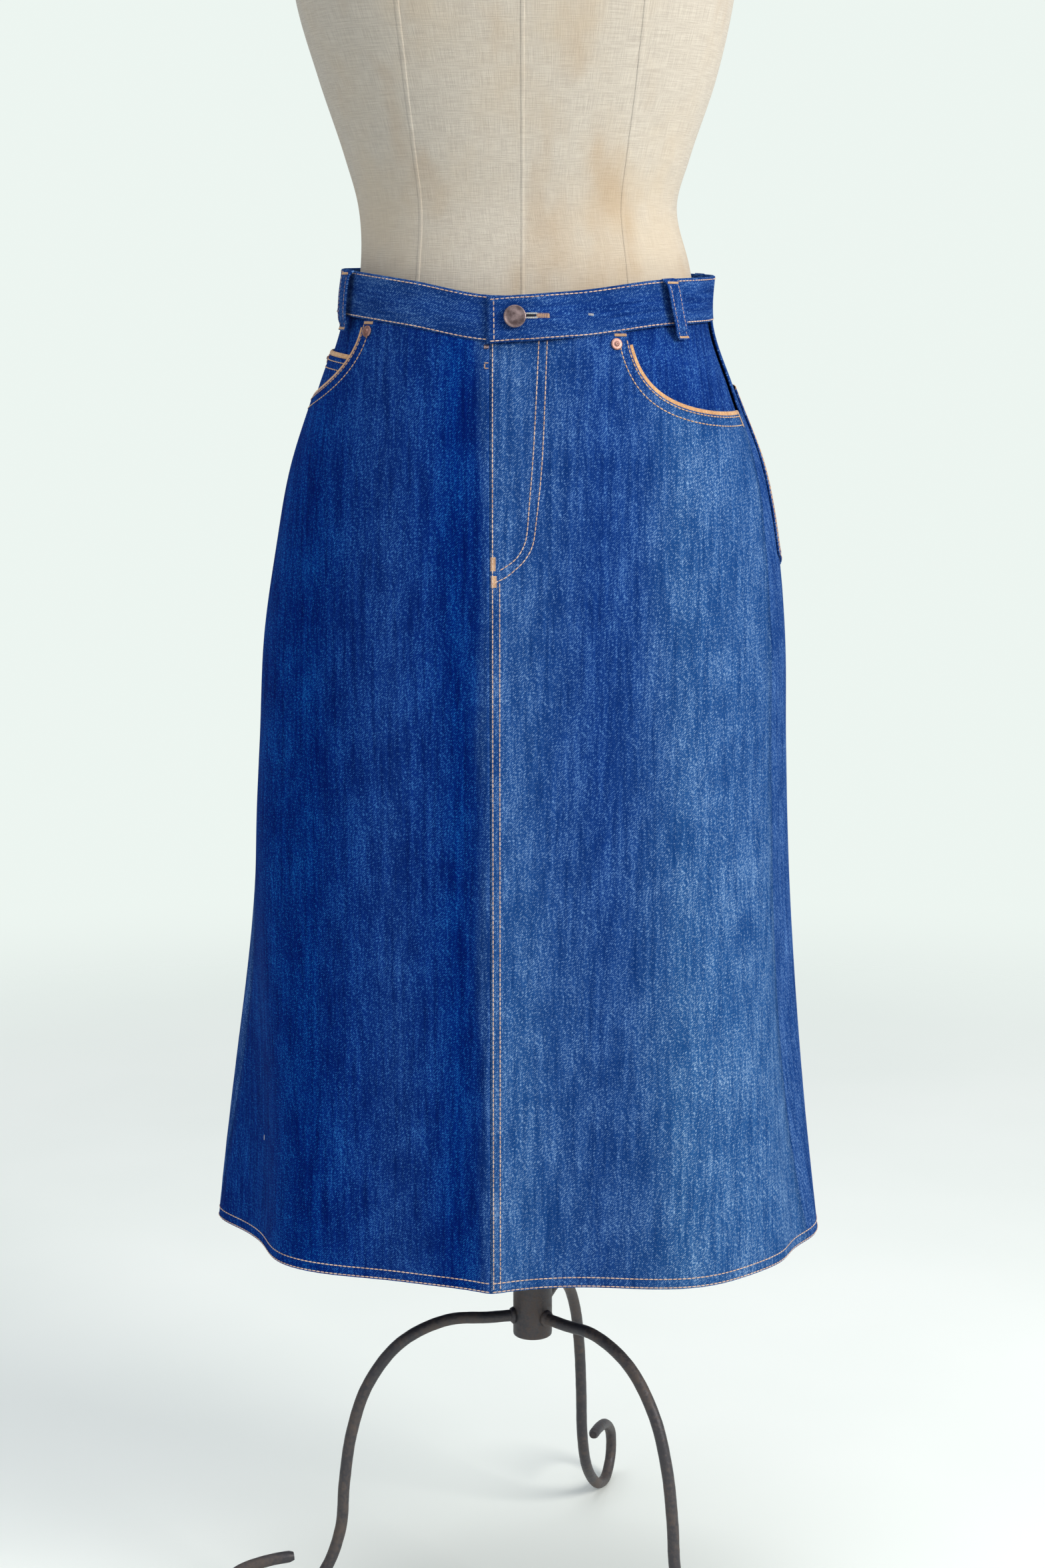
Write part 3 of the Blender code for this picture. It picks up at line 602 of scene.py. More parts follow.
# ---- Pocket facings and coin pocket ------------------------------------------------------------
# Behind each scooped mouth lies a facing of the same denim, sewn to the lining's place at the
# waist and side seam. The wearer's right one carries a small coin pocket with a bound top edge.
denim_facing = denim_cloth("denim facing", ((-0.300, 0.0), (0.000, 0.08), (0.150, 0.13), (0.300, 0.22)))
FACING_THICK = 0.0012
FACING_LAP = 0.012
COIN_NEAR, COIN_FAR, COIN_TOP, COIN_LOW, COIN_OUT = 0.56, 0.93, 0.0310, 0.0720, -0.0024


def behind_front(side, near, far, low, high, out):
    """A patch behind a front panel, between two fractions of it and two drops from the seam."""
    def put(a, b):
        fraction = near + (far - near) * (a if side > 0 else 1 - a)
        z = waist_seam(side * 0.25 * fraction) - (low + (high - low) * b)
        share = side * fraction * side_seam(z)
        return on_skirt(share, z, out), grain_at(share, z)
    return put


for name, side, out in (("pocket_facing_left", 1, -0.0030), ("pocket_facing_right", -1, -0.0044)):
    near, low = corners[side] - FACING_LAP / 0.235, MOUTHS[side][1] + FACING_LAP
    facing = cut_cloth(name + "_cloth", 40, 30, behind_front(side, near, 0.999, low, -0.001, out),
                       FACING_THICK)
    finish_piece(facing, denim_facing, "denim", name)

coin = cut_cloth("coin_pocket_cloth", 24, 16,
                 behind_front(-1, COIN_NEAR, COIN_FAR, COIN_LOW, COIN_TOP, COIN_OUT), FACING_THICK)
finish_piece(coin, denim_facing, "denim", "coin_pocket")

# ---- Piping ------------------------------------------------------------------------------------
# A folded strip of orange-tan twill peeps out along each pocket mouth, along the coin pocket and
# along the back pockets' tops. It is caught in the seam, so only its rounded fold shows.
STRIP_THICK = 0.0006
STRIP_BULGE = 0.0010
piping_look, tree, shader = new_look("tan piping", Roughness=0.65, Sheen_Weight=0.3)
cloth_fleck, cloth_shade, cloth_height = woven(tree)
tan = blend_colours(tree, cloth_shade, (0.42, 0.19, 0.065), (0.66, 0.36, 0.145))
tan = blend_colours(tree, cloth_fleck, tan, (0.76, 0.50, 0.26))
finish_look(tree, shader, tan, cloth_height, WEAVE_RELIEF)


def rounded_strip(route, out):
    """A narrow strip whose middle stands proud: route gives shares and heights at fractions
    along it and across it."""
    def put(a, b):
        share, z = route(a, b)
        shape = out + STRIP_BULGE * np.sqrt(np.maximum(1 - (2 * b - 1)**2, 0.0))
        return on_skirt(share, z, shape), grain_at(share, z)
    return put


def mouth_route(side, low, high):
    def route(a, b):
        turn = np.radians(4 + 85.5 * (a if side > 0 else 1 - a))
        across, z = mouth_place(side, turn, low + (high - low) * b)
        return side * across * side_seam(z), z
    return route


for name, side in (("pocket_piping_left", 1), ("pocket_piping_right", -1)):
    edging = cut_cloth(name + "_cloth", 60, 8,
                       rounded_strip(mouth_route(side, -0.0012, 0.0034), -0.0009), STRIP_THICK)
    finish_piece(edging, piping_look, "piping", name)


def coin_route(a, b):
    fraction = COIN_NEAR + (COIN_FAR - COIN_NEAR) * (1 - a)
    z = waist_seam(-0.25 * fraction) - (COIN_TOP + 0.0005 - 0.0036 * b)
    return -fraction * side_seam(z), z


edging = cut_cloth("coin_piping_cloth", 24, 8, rounded_strip(coin_route, COIN_OUT), STRIP_THICK)
finish_piece(edging, piping_look, "piping", "coin_piping")

# ---- Back pockets ------------------------------------------------------------------------------
# Two pointed patch pockets of denim, sewn on the back panels with a double row, each bound along
# its top with the same tan strip. Their outer corners come close to the side seams.
POCKET_WIDTH, POCKET_HEIGHT, POCKET_TOP, POCKET_EDGE = 0.145, 0.150, 1.042, 0.016
POCKET_POINT, POCKET_NARROW = 0.020, 0.012
POCKET_OUT = 0.0018


def pocket_place(across, up, drop=0.0):
    """A place on the wearer's left back pocket, across and up as fractions of it."""
    point = POCKET_POINT * (1 - np.abs(2 * across - 1)) * (1 - up)
    narrow = POCKET_NARROW * (1 - up)
    z = POCKET_TOP - POCKET_HEIGHT * (1 - up) - point + POCKET_POINT * (1 - up)**2 - drop
    away = POCKET_EDGE + narrow + (POCKET_WIDTH - 2 * narrow) * across
    return side_seam(z) + away / girth(z), z


for name, side in (("back_pocket_left", 1), ("back_pocket_right", -1)):
    def put_pocket(a, b, side=side):
        share, z = pocket_place(a if side > 0 else 1 - a, b)
        return on_skirt(side * share, z, POCKET_OUT), grain_at(side * (share - 0.5), z)

    patch = cut_cloth(name + "_cloth", 44, 44, put_pocket, DENIM)
    finish_piece(patch, denim_back, "denim", name)

    def top_route(a, b, side=side):
        share, z = pocket_place(a if side > 0 else 1 - a, 1.0, -0.0035 * b + 0.0004)
        return side * share, z

    edging = cut_cloth(name.replace("pocket", "piping") + "_cloth", 44, 8,
                       rounded_strip(top_route, 0.0014), STRIP_THICK)
    finish_piece(edging, piping_look, "piping", name.replace("pocket", "piping"))

# ---- Belt loops --------------------------------------------------------------------------------
# Five narrow folded strips, tacked over the band's top edge and below its seam. They are a little
# longer than the band is wide, so each stands off it in a shallow arch. The front two lean back.
LOOP_WIDTH = 0.0120
LOOP_THICK = 0.0016
# a loop's course: height over the band's seam, and how far it stands off the band
LOOPS = {"belt_loop_front_left": (0.147, 0.010), "belt_loop_front_right": (-0.131, -0.004),
         "belt_loop_side_left": (0.272, 0.003), "belt_loop_side_right": (-0.272, -0.003),
         "belt_loop_back": (0.5 * band_around, 0.0)}
LOOP_COURSE = ((-0.0120, 0.0), (-0.0080, 0.0), (-0.0030, 0.0028), (0.0060, 0.0046), (0.0175, 0.0052),
               (0.0290, 0.0046), (0.0330, 0.0028), (0.0350, 0.0004))
loop_base = BAND_THICK / 2 + GAP + LOOP_THICK / 2


def loop_place(distance, lean, across, run):
    """A place on a belt loop: across its width from -1 to 1, run along it from 0 to 1."""
    marks = np.linspace(0, 1, 60)
    smooth = [row_at([(k / 7, *c) for k, c in enumerate(LOOP_COURSE)], m) for m in marks]
    height = np.interp(run, marks, [s[0] for s in smooth])
    off = np.interp(run, marks, [s[1] for s in smooth])
    share = (distance + lean * (0.5 - run) + across * LOOP_WIDTH / 2) / band_around
    return share, waist_seam(share) + height, loop_base + off


for name, (distance, lean) in LOOPS.items():
    def put_loop(a, b, distance=distance, lean=lean):
        share, z, out = loop_place(distance, lean, 2 * a - 1, b)
        return on_skirt(share, z, out), np.stack((share * band_around, z), axis=1)

    loop = cut_cloth(name + "_cloth", 10, 40, put_loop, LOOP_THICK)
    soften = loop.modifiers.new("rolled edges", "BEVEL")
    soften.width = 0.0005
    soften.segments = 2
    soften.limit_method = "ANGLE"
    finish_piece(loop, denim_band, "denim", name)

# ---- Button, buttonhole and rivets -------------------------------------------------------------
# A plain shank button in dark mauve-brown metal comes through the lapped end. Copper-pink rivets
# hold the pocket corners: a flat washer with a small burr in the middle.


def plated(name, colour, dark, roughness):
    """Worn plating, with specks and clouds of a darker tone."""
    look, tree, shader = new_look(name, Metallic=0.85)
    specks = noise(tree, own_place(tree), 900, 3.0)
    clouds = noise(tree, own_place(tree), 160, 2.0)
    worn = spread(tree, sums(tree, "MULTIPLY_ADD", specks, 0.4, clouds), 0.45, 0.95)
    finish_look(tree, shader, blend_colours(tree, worn, dark, colour), specks, 0.00008,
                spread(tree, clouds, 0.3, 0.7, roughness - 0.08, roughness + 0.12))
    return look


def turned_round(name, outline, place, way, steps=48):
    """A round piece spun from its outline of (radius, height) points, set at a place."""
    bm = bmesh.new()
    line = [bm.verts.new((radius, 0, height)) for radius, height in outline]
    edges = [bm.edges.new(pair) for pair in zip(line, line[1:])]
    bmesh.ops.spin(bm, geom=line + edges, cent=(0, 0, 0), axis=(0, 0, 1), angle=2 * math.pi,
                   steps=steps, use_merge=True)
    bmesh.ops.remove_doubles(bm, verts=bm.verts, dist=0.00001)
    bmesh.ops.recalc_face_normals(bm, faces=bm.faces)
    turn = Vector(way).to_track_quat("Z", "Y").to_matrix().to_4x4()
    bmesh.ops.transform(bm, matrix=Matrix.Translation(Vector(place)) @ turn, verts=bm.verts)
    return placed(name, bm)


def face_way(share, z):
    return on_skirt(share, z, 1.0) - on_skirt(share, z, 0.0)


button_metal = plated("button plating", (0.36, 0.27, 0.27), (0.15, 0.10, 0.10), 0.36)
copper = plated("copper rivet", (0.52, 0.31, 0.27), (0.24, 0.12, 0.10), 0.45)
button_share, button_z = 0.0187 / float(girth(1.10)), 1.0990
seat = BAND_THICK * 1.5 + 2 * GAP + 0.0002
place = on_skirt(button_share, button_z, seat)
button = turned_round("shank_button", (
    (0.0, 0.0002), (0.0044, 0.0002), (0.0044, 0.0016), (0.0078, 0.0017), (0.0084, 0.0021),
    (0.0086, 0.0028), (0.0085, 0.0034), (0.0081, 0.0038), (0.0076, 0.0038), (0.0071, 0.0035),
    (0.0050, 0.0037), (0.0020, 0.0039), (0.0, 0.00395)), place, face_way(button_share, button_z))
finish_piece(button, button_metal, "button_metal", "button")
RIVET = (
    (0.0, 0.0), (0.0044, 0.0), (0.0046, 0.0004), (0.0044, 0.0008), (0.0036, 0.0010), (0.0026, 0.0009),
    (0.0018, 0.0010), (0.0015, 0.0016), (0.0012, 0.0021), (0.0007, 0.0021), (0.0004, 0.0016), (0.0, 0.0015))
left_share, right_share = 0.0960 / float(girth(1.085)), -0.1055 / float(girth(1.085))
coin_z = float(waist_seam(-0.226)) - 0.0355
for name, share, z, out in (
        ("rivet_left", left_share, float(waist_seam(left_share)) - 0.0085, DENIM / 2 + 0.0006),
        ("rivet_right", right_share, float(waist_seam(right_share)) - 0.0090, DENIM / 2 + 0.0006),
        ("rivet_coin_pocket", -0.905 * float(side_seam(coin_z)), coin_z, -0.0012)):
    rivet = turned_round(name + "_copper", RIVET, on_skirt(share, z, out), face_way(share, z), 32)
    finish_piece(rivet, copper, "copper", name)

# ---- Topstitching ------------------------------------------------------------------------------
# Thick spun thread, four millimetres to the stitch, sunk a little at each hole. It runs in double
# rows down the front, round the fly, the pockets and the hem, and singly along the band's edges.
STITCH_PITCH, STITCH_LENGTH, STITCH_WIDTH = 0.0038, 0.0036, 0.00105


def thread_colour(name, light, dark):
    """Spun thread, uneven in its dye along its length."""
    look, tree, shader = new_look(name, Roughness=0.6, Sheen_Weight=0.35)
    fibres = noise(tree, own_place(tree), (1500, 1500, 2400), 2.0)
    lengths = noise(tree, own_place(tree), (45, 45, 60), 2.0)
    mixed = sums(tree, "MULTIPLY_ADD", fibres, 0.7, sums(tree, "MULTIPLY", lengths, 0.5))
    colour = blend_colours(tree, spread(tree, mixed, 0.35, 0.85), dark, light)
    finish_look(tree, shader, colour, fibres, 0.00015)
    return look


pale_thread = thread_colour("pale pink-tan thread", (0.83, 0.61, 0.47), (0.34, 0.18, 0.13))
gold_thread = thread_colour("gold-tan thread", (0.76, 0.50, 0.29), (0.36, 0.18, 0.09))

bead = bmesh.new()
bmesh.ops.create_uvsphere(bead, u_segments=6, v_segments=5, radius=0.5)
bmesh.ops.triangulate(bead, faces=bead.faces)
bead.verts.index_update()
bead_points = np.array([v.co for v in bead.verts])
bead_faces = np.array([[v.index for v in f.verts] for f in bead.faces])
bead.free()


def stitches(share, z, out, pitch=STITCH_PITCH, length=STITCH_LENGTH):
    """Starts, ends and outward ways of the stitches along a line on the skirt."""
    share, z = np.broadcast_arrays(np.asarray(share, float), np.asarray(z, float))
    points, ways = on_skirt(share, z, out), looked_up(outward, share, z)
    steps = np.linalg.norm(np.diff(points, axis=0), axis=1)
    run = np.concatenate(([0.0], np.cumsum(steps)))
    count = max(int(run[-1] / pitch), 1)
    at = (np.arange(count) + 0.5) * run[-1] / count
    found = []
    for mark in (at - length / 2, at + length / 2, at):
        found.append(np.stack([np.interp(mark, run, points[:, k]) for k in range(3)], axis=1))
    way = np.stack([np.interp(at, run, ways[:, k]) for k in range(3)], axis=1)
    return found[0], found[1], way


def sew(name, runs, look, slot, width=STITCH_WIDTH):
    """One object of many stitches: runs are (starts, ends, ways)."""
    starts = np.concatenate([r[0] for r in runs])
    ends = np.concatenate([r[1] for r in runs])
    ways = np.concatenate([r[2] for r in runs])
    ways = ways / np.linalg.norm(ways, axis=1)[:, None]
    along = ends - starts
    length = np.linalg.norm(along, axis=1)[:, None]
    sideways = np.cross(ways, along / length)
    middle = (starts + ends) / 2
    spots = (middle[:, None, :]
             + bead_points[None, :, 2:3] * along[:, None, :]
             + bead_points[None, :, 0:1] * sideways[:, None, :] * width
             + bead_points[None, :, 1:2] * ways[:, None, :] * width * 0.75)
    faces = bead_faces[None] + (np.arange(len(starts)) * len(bead_points))[:, None, None]
    beads = bpy.data.meshes.new("beads")
    beads.from_pydata(spots.reshape(-1, 3).tolist(), [], faces.reshape(-1, 3).tolist())
    bm = bmesh.new()
    bm.from_mesh(beads)
    bpy.data.meshes.remove(beads)
    bmesh.ops.recalc_face_normals(bm, faces=bm.faces)
    return finish_piece(placed(name, bm), look, slot)


THREAD_OUT = DENIM / 2 + 0.0002
PATCH_THREAD_OUT = 0.0026
COIN_THREAD_OUT = -0.0016
FINE_STITCH = (0.0036, 0.0032)      # pitch and length of the stitches along the mouths


def down_front(distance, top, bottom):
    """A straight row beside the centre front seam."""
    z = np.linspace(top, bottom, 200)
    return stitches(distance / girth(z), z, THREAD_OUT)


# the fly's curve: distance from the centre front, height
FLY_OUTER = ((0.0435, 1.0820), (0.0400, 0.9930), (0.0352, 0.9430), (0.0325, 0.9270),
             (0.0265, 0.9165), (0.0198, 0.9100), (0.0120, 0.9040), (0.0030, 0.9000))
FLY_INNER = ((0.0372, 1.0820), (0.0335, 1.0030), (0.0300, 0.9560), (0.0280, 0.9340),
             (0.0240, 0.9235), (0.0190, 0.9170), (0.0120, 0.9120), (0.0075, 0.9095))


def smooth_line(points, count=160):
    """A smooth line through a few (distance, height) points."""
    rows = [(k / (len(points) - 1), *p) for k, p in enumerate(points)]
    found = np.array([row_at(rows, t) for t in np.linspace(0, 1, count)])
    return found[:, 0], found[:, 1]


front_rows = [down_front(0.0020, 1.0800, HEM_Z + 0.003), down_front(0.0074, 0.9000, HEM_Z + 0.003)]
for points in (FLY_OUTER, FLY_INNER):
    distance, z = smooth_line(points)
    front_rows.append(stitches(distance / girth(z), z, THREAD_OUT))
for side in (1, -1):
    z = np.linspace(1.100, HEM_Z + 0.003, 240)
    front_rows.append(stitches(0.5 - side * 0.0035 / girth(z), z, THREAD_OUT))
sew("front_and_back_topstitch", front_rows, pale_thread, "piping")

hem_lines = []
for rise in (0.0012, 0.0082):
    for low, high in ((0.0008, 0.4992), (0.5008, 0.9992)):
        share = np.linspace(low, high, 500)
        hem_lines.append(stitches(share, HEM_Z + rise, THREAD_OUT))
sew("hem_topstitch", hem_lines, pale_thread, "piping")

band_lines = []
share = np.linspace(band_start + 0.0022 / band_around, 1.0 - 0.002 / band_around, 500)
lift, droop = band_lift(share)
for rise in (0.0013, BAND_WIDTH - 0.0016):
    z = waist_seam(share) + rise - droop
    band_lines.append(stitches(share, z, BAND_THICK / 2 + lift + 0.00005))
end_z = np.linspace(0.0020, BAND_WIDTH - 0.0024, 20)
end_share = np.full(20, band_start + 0.0050 / band_around)
end_lift, end_droop = band_lift(end_share)
band_lines.append(stitches(end_share, waist_seam(end_share) + end_z - end_droop,
                           BAND_THICK / 2 + end_lift + 0.00005))
sew("waistband_topstitch", band_lines, pale_thread, "piping")

mouth_lines = []
for side in (1, -1):
    for drop in (0.0015, 0.0083):
        turn = np.radians(np.linspace(2, 89, 120))
        across, z = mouth_place(side, turn, -drop)
        z = np.minimum(z, waist_seam(side * 0.25 * across) - 0.001)
        mouth_lines.append(stitches(side * across * side_seam(z), z, THREAD_OUT, *FINE_STITCH))
for drop in (0.0350, 0.0410):
    fraction = np.linspace(0.58, 0.92, 40)
    z = waist_seam(-0.25 * fraction) - drop
    mouth_lines.append(stitches(-fraction * side_seam(z), z, COIN_THREAD_OUT, *FINE_STITCH))
for side in (1, -1):
    for inset in (0.0016, 0.0080):
        a0, b0 = inset / POCKET_WIDTH, inset / POCKET_HEIGHT
        outline = [(a0, t) for t in np.linspace(0.985, b0, 40)]
        outline += [(t, b0) for t in np.linspace(a0, 1 - a0, 40)]
        outline += [(1 - a0, t) for t in np.linspace(b0, 0.985, 40)]
        across, up = np.array(outline).T
        share, z = pocket_place(across, up)
        mouth_lines.append(stitches(side * share, z, PATCH_THREAD_OUT))
    for drop in (0.0025, 0.0100):
        share, z = pocket_place(np.linspace(0.012, 0.988, 60), 1.0, drop)
        mouth_lines.append(stitches(side * share, z, PATCH_THREAD_OUT))
sew("pocket_topstitch", mouth_lines, gold_thread, "piping")

loop_lines = []
for distance, lean in LOOPS.values():
    for across in (-0.62, 0.62):
        run = np.linspace(0.02, 0.98, 60)
        share, z, out = loop_place(distance, lean, across, run)
        loop_lines.append(stitches(share, z, out + LOOP_THICK / 2, 0.0032, 0.0028))
sew("belt_loop_stitch", loop_lines, pale_thread, "piping", 0.0006)     # a finer thread

# bar tacks: close zigzag stitching that locks a seam's end: share, height, half-length, the
# tack's turn from level in degrees, and how far out it lies
TACK_WIDTH = 0.0006
tacks = []


def bar_tack(share, z, half, degrees, out, reach=0.0013, pitch=0.00055):
    """Short stitches side by side across a line of the given half-length."""
    turn = math.radians(degrees)
    count = int(2 * half / pitch)
    at = (np.arange(count) + 0.5) * pitch - half
    ends = []
    for end in (-reach, reach):
        across = at * math.cos(turn) - end * math.sin(turn)
        up = at * math.sin(turn) + end * math.cos(turn)
        ends.append(on_skirt(share + across / girth(z), z + up, out))
    ways = looked_up(outward, np.full(count, share), np.full(count, z))
    tacks.append((ends[0], ends[1], ways))


bar_tack(0.0024 / girth(0.915), 0.9145, 0.0055, 90, THREAD_OUT, 0.0022)
bar_tack(0.0030 / girth(0.902), 0.9010, 0.0045, 90, THREAD_OUT, 0.0024)
for side in (1, -1):
    z = float(waist_seam(side * 0.25)) - MOUTHS[side][1] - 0.0045
    bar_tack(side * 0.975 * side_seam(z), z, 0.0055, 90, THREAD_OUT)
    corner = side * corners[side] * side_seam(1.09)
    bar_tack(corner - side * 0.006 / girth(1.09), float(waist_seam(corner)) - 0.0030, 0.0050, 0,
             THREAD_OUT)
    share, z = pocket_place(np.array([0.02, 0.98]), 1.0, 0.004)
    for k in (0, 1):
        bar_tack(side * share[k], float(z[k]), 0.0050, 90, PATCH_THREAD_OUT)
for distance, lean in LOOPS.values():
    for run, lift in ((0.06, 0.0009), (0.80, 0.0014)):
        share, z, out = loop_place(distance, lean, 0.0, run)
        bar_tack(float(share), float(z), LOOP_WIDTH / 2 - 0.0008, 0, float(out) + lift, 0.0010)
# the buttonhole: a slit bound in pale thread, with a bar tack across its end
HOLE_Z = 1.1000
HOLE_START, HOLE_LENGTH, HOLE_GAPE = 0.0268, 0.0088, 0.0011
hole_lift = float(band_lift(np.array([0.0352 / band_around]))[0][0]) + BAND_THICK / 2
bar_tack(0.0392 / band_around, HOLE_Z, 0.0046, 0, hole_lift + 0.0002, 0.0021, 0.0007)
bar_tack(0.0437 / band_around, HOLE_Z, 0.0018, 90, hole_lift + 0.0001, 0.0008)
sew("bar_tacks", tacks, gold_thread, "piping", TACK_WIDTH)
tacks = []
for rise in (-0.0016, 0.0016):
    bar_tack(0.0310 / band_around, HOLE_Z + rise, 0.0046, 0, hole_lift + 0.0002, 0.0008, 0.0007)
# a slub near the hem, and a loose white end on the band
slub_z = HEM_Z + 0.090
bar_tack(-0.2385 / girth(slub_z), slub_z, 0.0006, 0, THREAD_OUT - 0.0002, 0.0025)
bar_tack(0.0765 / band_around, float(waist_seam(0.1)) + 0.0155, 0.0024, -6, BAND_THICK / 2 + 0.0002,
         0.0010, 0.0007)
ecru_thread = thread_colour("ecru thread", (0.80, 0.76, 0.68), (0.34, 0.36, 0.38))
sew("buttonhole_stitch", tacks, ecru_thread, "piping", TACK_WIDTH)
# what peeps out beside the fly: the zip's metal end, and a loop of thread below it
tacks = []
fly_length, zip_z = girth(1.07), float(waist_seam(0)) - 0.0040
bar_tack(-0.0026 / fly_length, zip_z, 0.0020, 0, THREAD_OUT, 0.0018)
sew("zip_end", tacks, button_metal, "button_metal", TACK_WIDTH)
tacks = []
end_z = float(waist_seam(0)) - 0.0180
for rise in (-0.0020, 0.0020):
    bar_tack(-0.0024 / fly_length, end_z + rise, 0.0015, 0, THREAD_OUT, 0.0005, 0.0006)
bar_tack(-0.0038 / fly_length, end_z, 0.0016, 90, THREAD_OUT, 0.0005)
sew("fly_thread_end", tacks, gold_thread, "piping", TACK_WIDTH)
# a near-black sheet laid in the buttonhole's opening: painted shadow where the layer beneath lies in shade
buttonhole_shadow, _, _ = new_look("painted shadow in the buttonhole", Base_Color=(0.004, 0.006, 0.014, 1.0), Roughness=0.9)


def put_slit(a, b):
    share = (HOLE_START + HOLE_LENGTH * a) / band_around
    gape = HOLE_GAPE * np.sin(math.pi * np.clip(0.15 + 0.85 * a, 0, 1))
    return (on_skirt(share, HOLE_Z + (2 * b - 1) * gape, hole_lift + 0.00025),
            np.stack((a * 0.009, b * 0.002), axis=1))


opening = cut_cloth("buttonhole_painted_shadow", 12, 2, put_slit, 0)
finish_piece(opening, buttonhole_shadow, "denim")

# ---- Dress form --------------------------------------------------------------------------------
# A papier-mache torso covered in natural linen, tea-brown with age and stained in patches. The
# cover is cut in panels, with a seam down the centre front and a princess seam to each side.
# each row: height, half-width, reach to the front and back, squareness, middle
FORM_ROWS = (
    (0.872, 0.1640, 0.1000, 0.1140, 2.2, 0.002),
    (0.890, 0.1770, 0.1110, 0.1250, 2.2, 0.002),
    (0.930, 0.1830, 0.1180, 0.1300, 2.2, 0.002),
    (0.980, 0.1760, 0.1150, 0.1240, 2.2, 0.002),
    (1.044, 0.1560, 0.1060, 0.1070, 2.2, 0.002),
    (1.100, 0.1375, 0.0950, 0.0890, 2.2, 0.003),
    (1.139, 0.1305, 0.0910, 0.0830, 2.2, 0.002),
    (1.187, 0.1262, 0.0880, 0.0790, 2.2, -0.004),
    (1.222, 0.1358, 0.0940, 0.0810, 2.2, -0.004),
    (1.283, 0.1560, 0.1080, 0.0900, 2.3, -0.004),
    (1.343, 0.1710, 0.1230, 0.0980, 2.4, -0.006),
    (1.390, 0.1760, 0.1270, 0.1030, 2.5, -0.006),
    (1.440, 0.1750, 0.1120, 0.1050, 2.5, -0.006),
    (1.490, 0.1660, 0.0860, 0.0990, 2.4, -0.006),
    (1.525, 0.1380, 0.0690, 0.0860, 2.2, -0.006),
    (1.550, 0.0960, 0.0590, 0.0720, 2.1, -0.006),
    (1.575, 0.0650, 0.0530, 0.0600, 2.0, -0.006),
    (1.600, 0.0570, 0.0500, 0.0540, 2.0, -0.006),
    (1.645, 0.0550, 0.0500, 0.0500, 2.0, -0.006),
)
form_heights = np.linspace(FORM_ROWS[0][0], FORM_ROWS[-1][0], 310)
form_sizes = np.array([row_at(FORM_ROWS, z) for z in form_heights])


def on_form(angle, z, out=0.0):
    """Points on the form at angles from the front and heights."""
    angle, z = np.broadcast_arrays(np.asarray(angle, float), np.asarray(z, float))
    half, front, back, square, middle = (np.interp(z, form_heights, form_sizes[:, k]) for k in range(5))
    radius = oval(angle, half, half, front, back, square) + out
    return np.stack((middle + radius * np.sin(angle), -radius * np.cos(angle), z), axis=-1) + np.array(AXIS)


linen, tree, shader = new_look("aged linen", Roughness=0.9, Sheen_Weight=0.15)
warp = noise(tree, grain_of(tree), (1500, 60, 1), 2.0, 0.6)
weft = noise(tree, grain_of(tree), (50, 1400, 1), 2.0, 0.6)
threads = sums(tree, "ADD", warp, weft)
cloud = noise(tree, own_place(tree), (7, 7, 5), 5.0, 0.62)
blots = noise(tree, own_place(tree), (13, 13, 6), 3.0, 0.55)
ground = blend_colours(tree, spread(tree, threads, 0.75, 1.25),
                       (0.480, 0.430, 0.368), (0.610, 0.560, 0.478))
tea = blend_colours(tree, spread(tree, cloud, 0.45, 0.72, 0.0, 0.50), ground, (0.58, 0.47, 0.33))
stained = blend_colours(tree, spread(tree, blots, 0.52, 0.76, 0.0, 0.55), tea, (0.44, 0.29, 0.15))
finish_look(tree, shader, stained, threads, WEAVE_RELIEF)
FORM_REACH = 0.15       # the form's mean radius, for the grain of its cover


def put_form(a, b):
    angle = 2 * math.pi * (a - 0.5)
    z = FORM_ROWS[0][0] + (FORM_ROWS[-1][0] - FORM_ROWS[0][0]) * b
    return on_form(angle, z), np.stack((angle * FORM_REACH, z), axis=1)


form_cover = cut_cloth("linen_form", 160, 240, put_form, 0)
bm = bmesh.new()
bm.from_mesh(form_cover.data)
bmesh.ops.remove_doubles(bm, verts=bm.verts, dist=0.00005)
bmesh.ops.holes_fill(bm, edges=[e for e in bm.edges if e.is_boundary], sides=0)
bmesh.ops.recalc_face_normals(bm, faces=bm.faces)
bm.to_mesh(form_cover.data)
bm.free()
finish_piece(form_cover, linen, "linen", "dress_form")

# seams in the cover: angle in degrees from the front at the waist, and at the bust
SEAMS = {"centre_front": (0, 0), "princess_left": (47, 40), "princess_right": (-47, -40),
         "side_left": (96, 92), "side_right": (-96, -92), "back_left": (141, 147),
         "back_right": (-141, -147), "centre_back": (180, 180)}
SEAM_FOOT, SEAM_HEAD = 0.90, 1.52
SEAM_WIDTH, SEAM_CROWN = 0.0040, 0.00022
for name, (waist_turn, bust_turn) in SEAMS.items():
    def put_seam(a, b, waist_turn=waist_turn, bust_turn=bust_turn):
        z = SEAM_FOOT + (SEAM_HEAD - SEAM_FOOT) * b
        mix = np.clip((z - 1.18) / 0.20, 0, 1)
        middle = np.radians(waist_turn + (bust_turn - waist_turn) * eased(mix))
        lean = np.interp(z, form_heights, form_sizes[:, 4]) / np.interp(z, form_heights, form_sizes[:, 1])
        angle = middle - lean * np.cos(middle) + (a - 0.5) * SEAM_WIDTH / 0.13
        crown = SEAM_CROWN * np.sin(math.pi * a) - 0.00010
        return on_form(angle, z, crown), np.stack((angle * FORM_REACH, z), axis=1)

    ridge = cut_cloth("linen_seam_" + name, 4, 200, put_seam, 0.0002)
    finish_piece(ridge, linen, "linen")

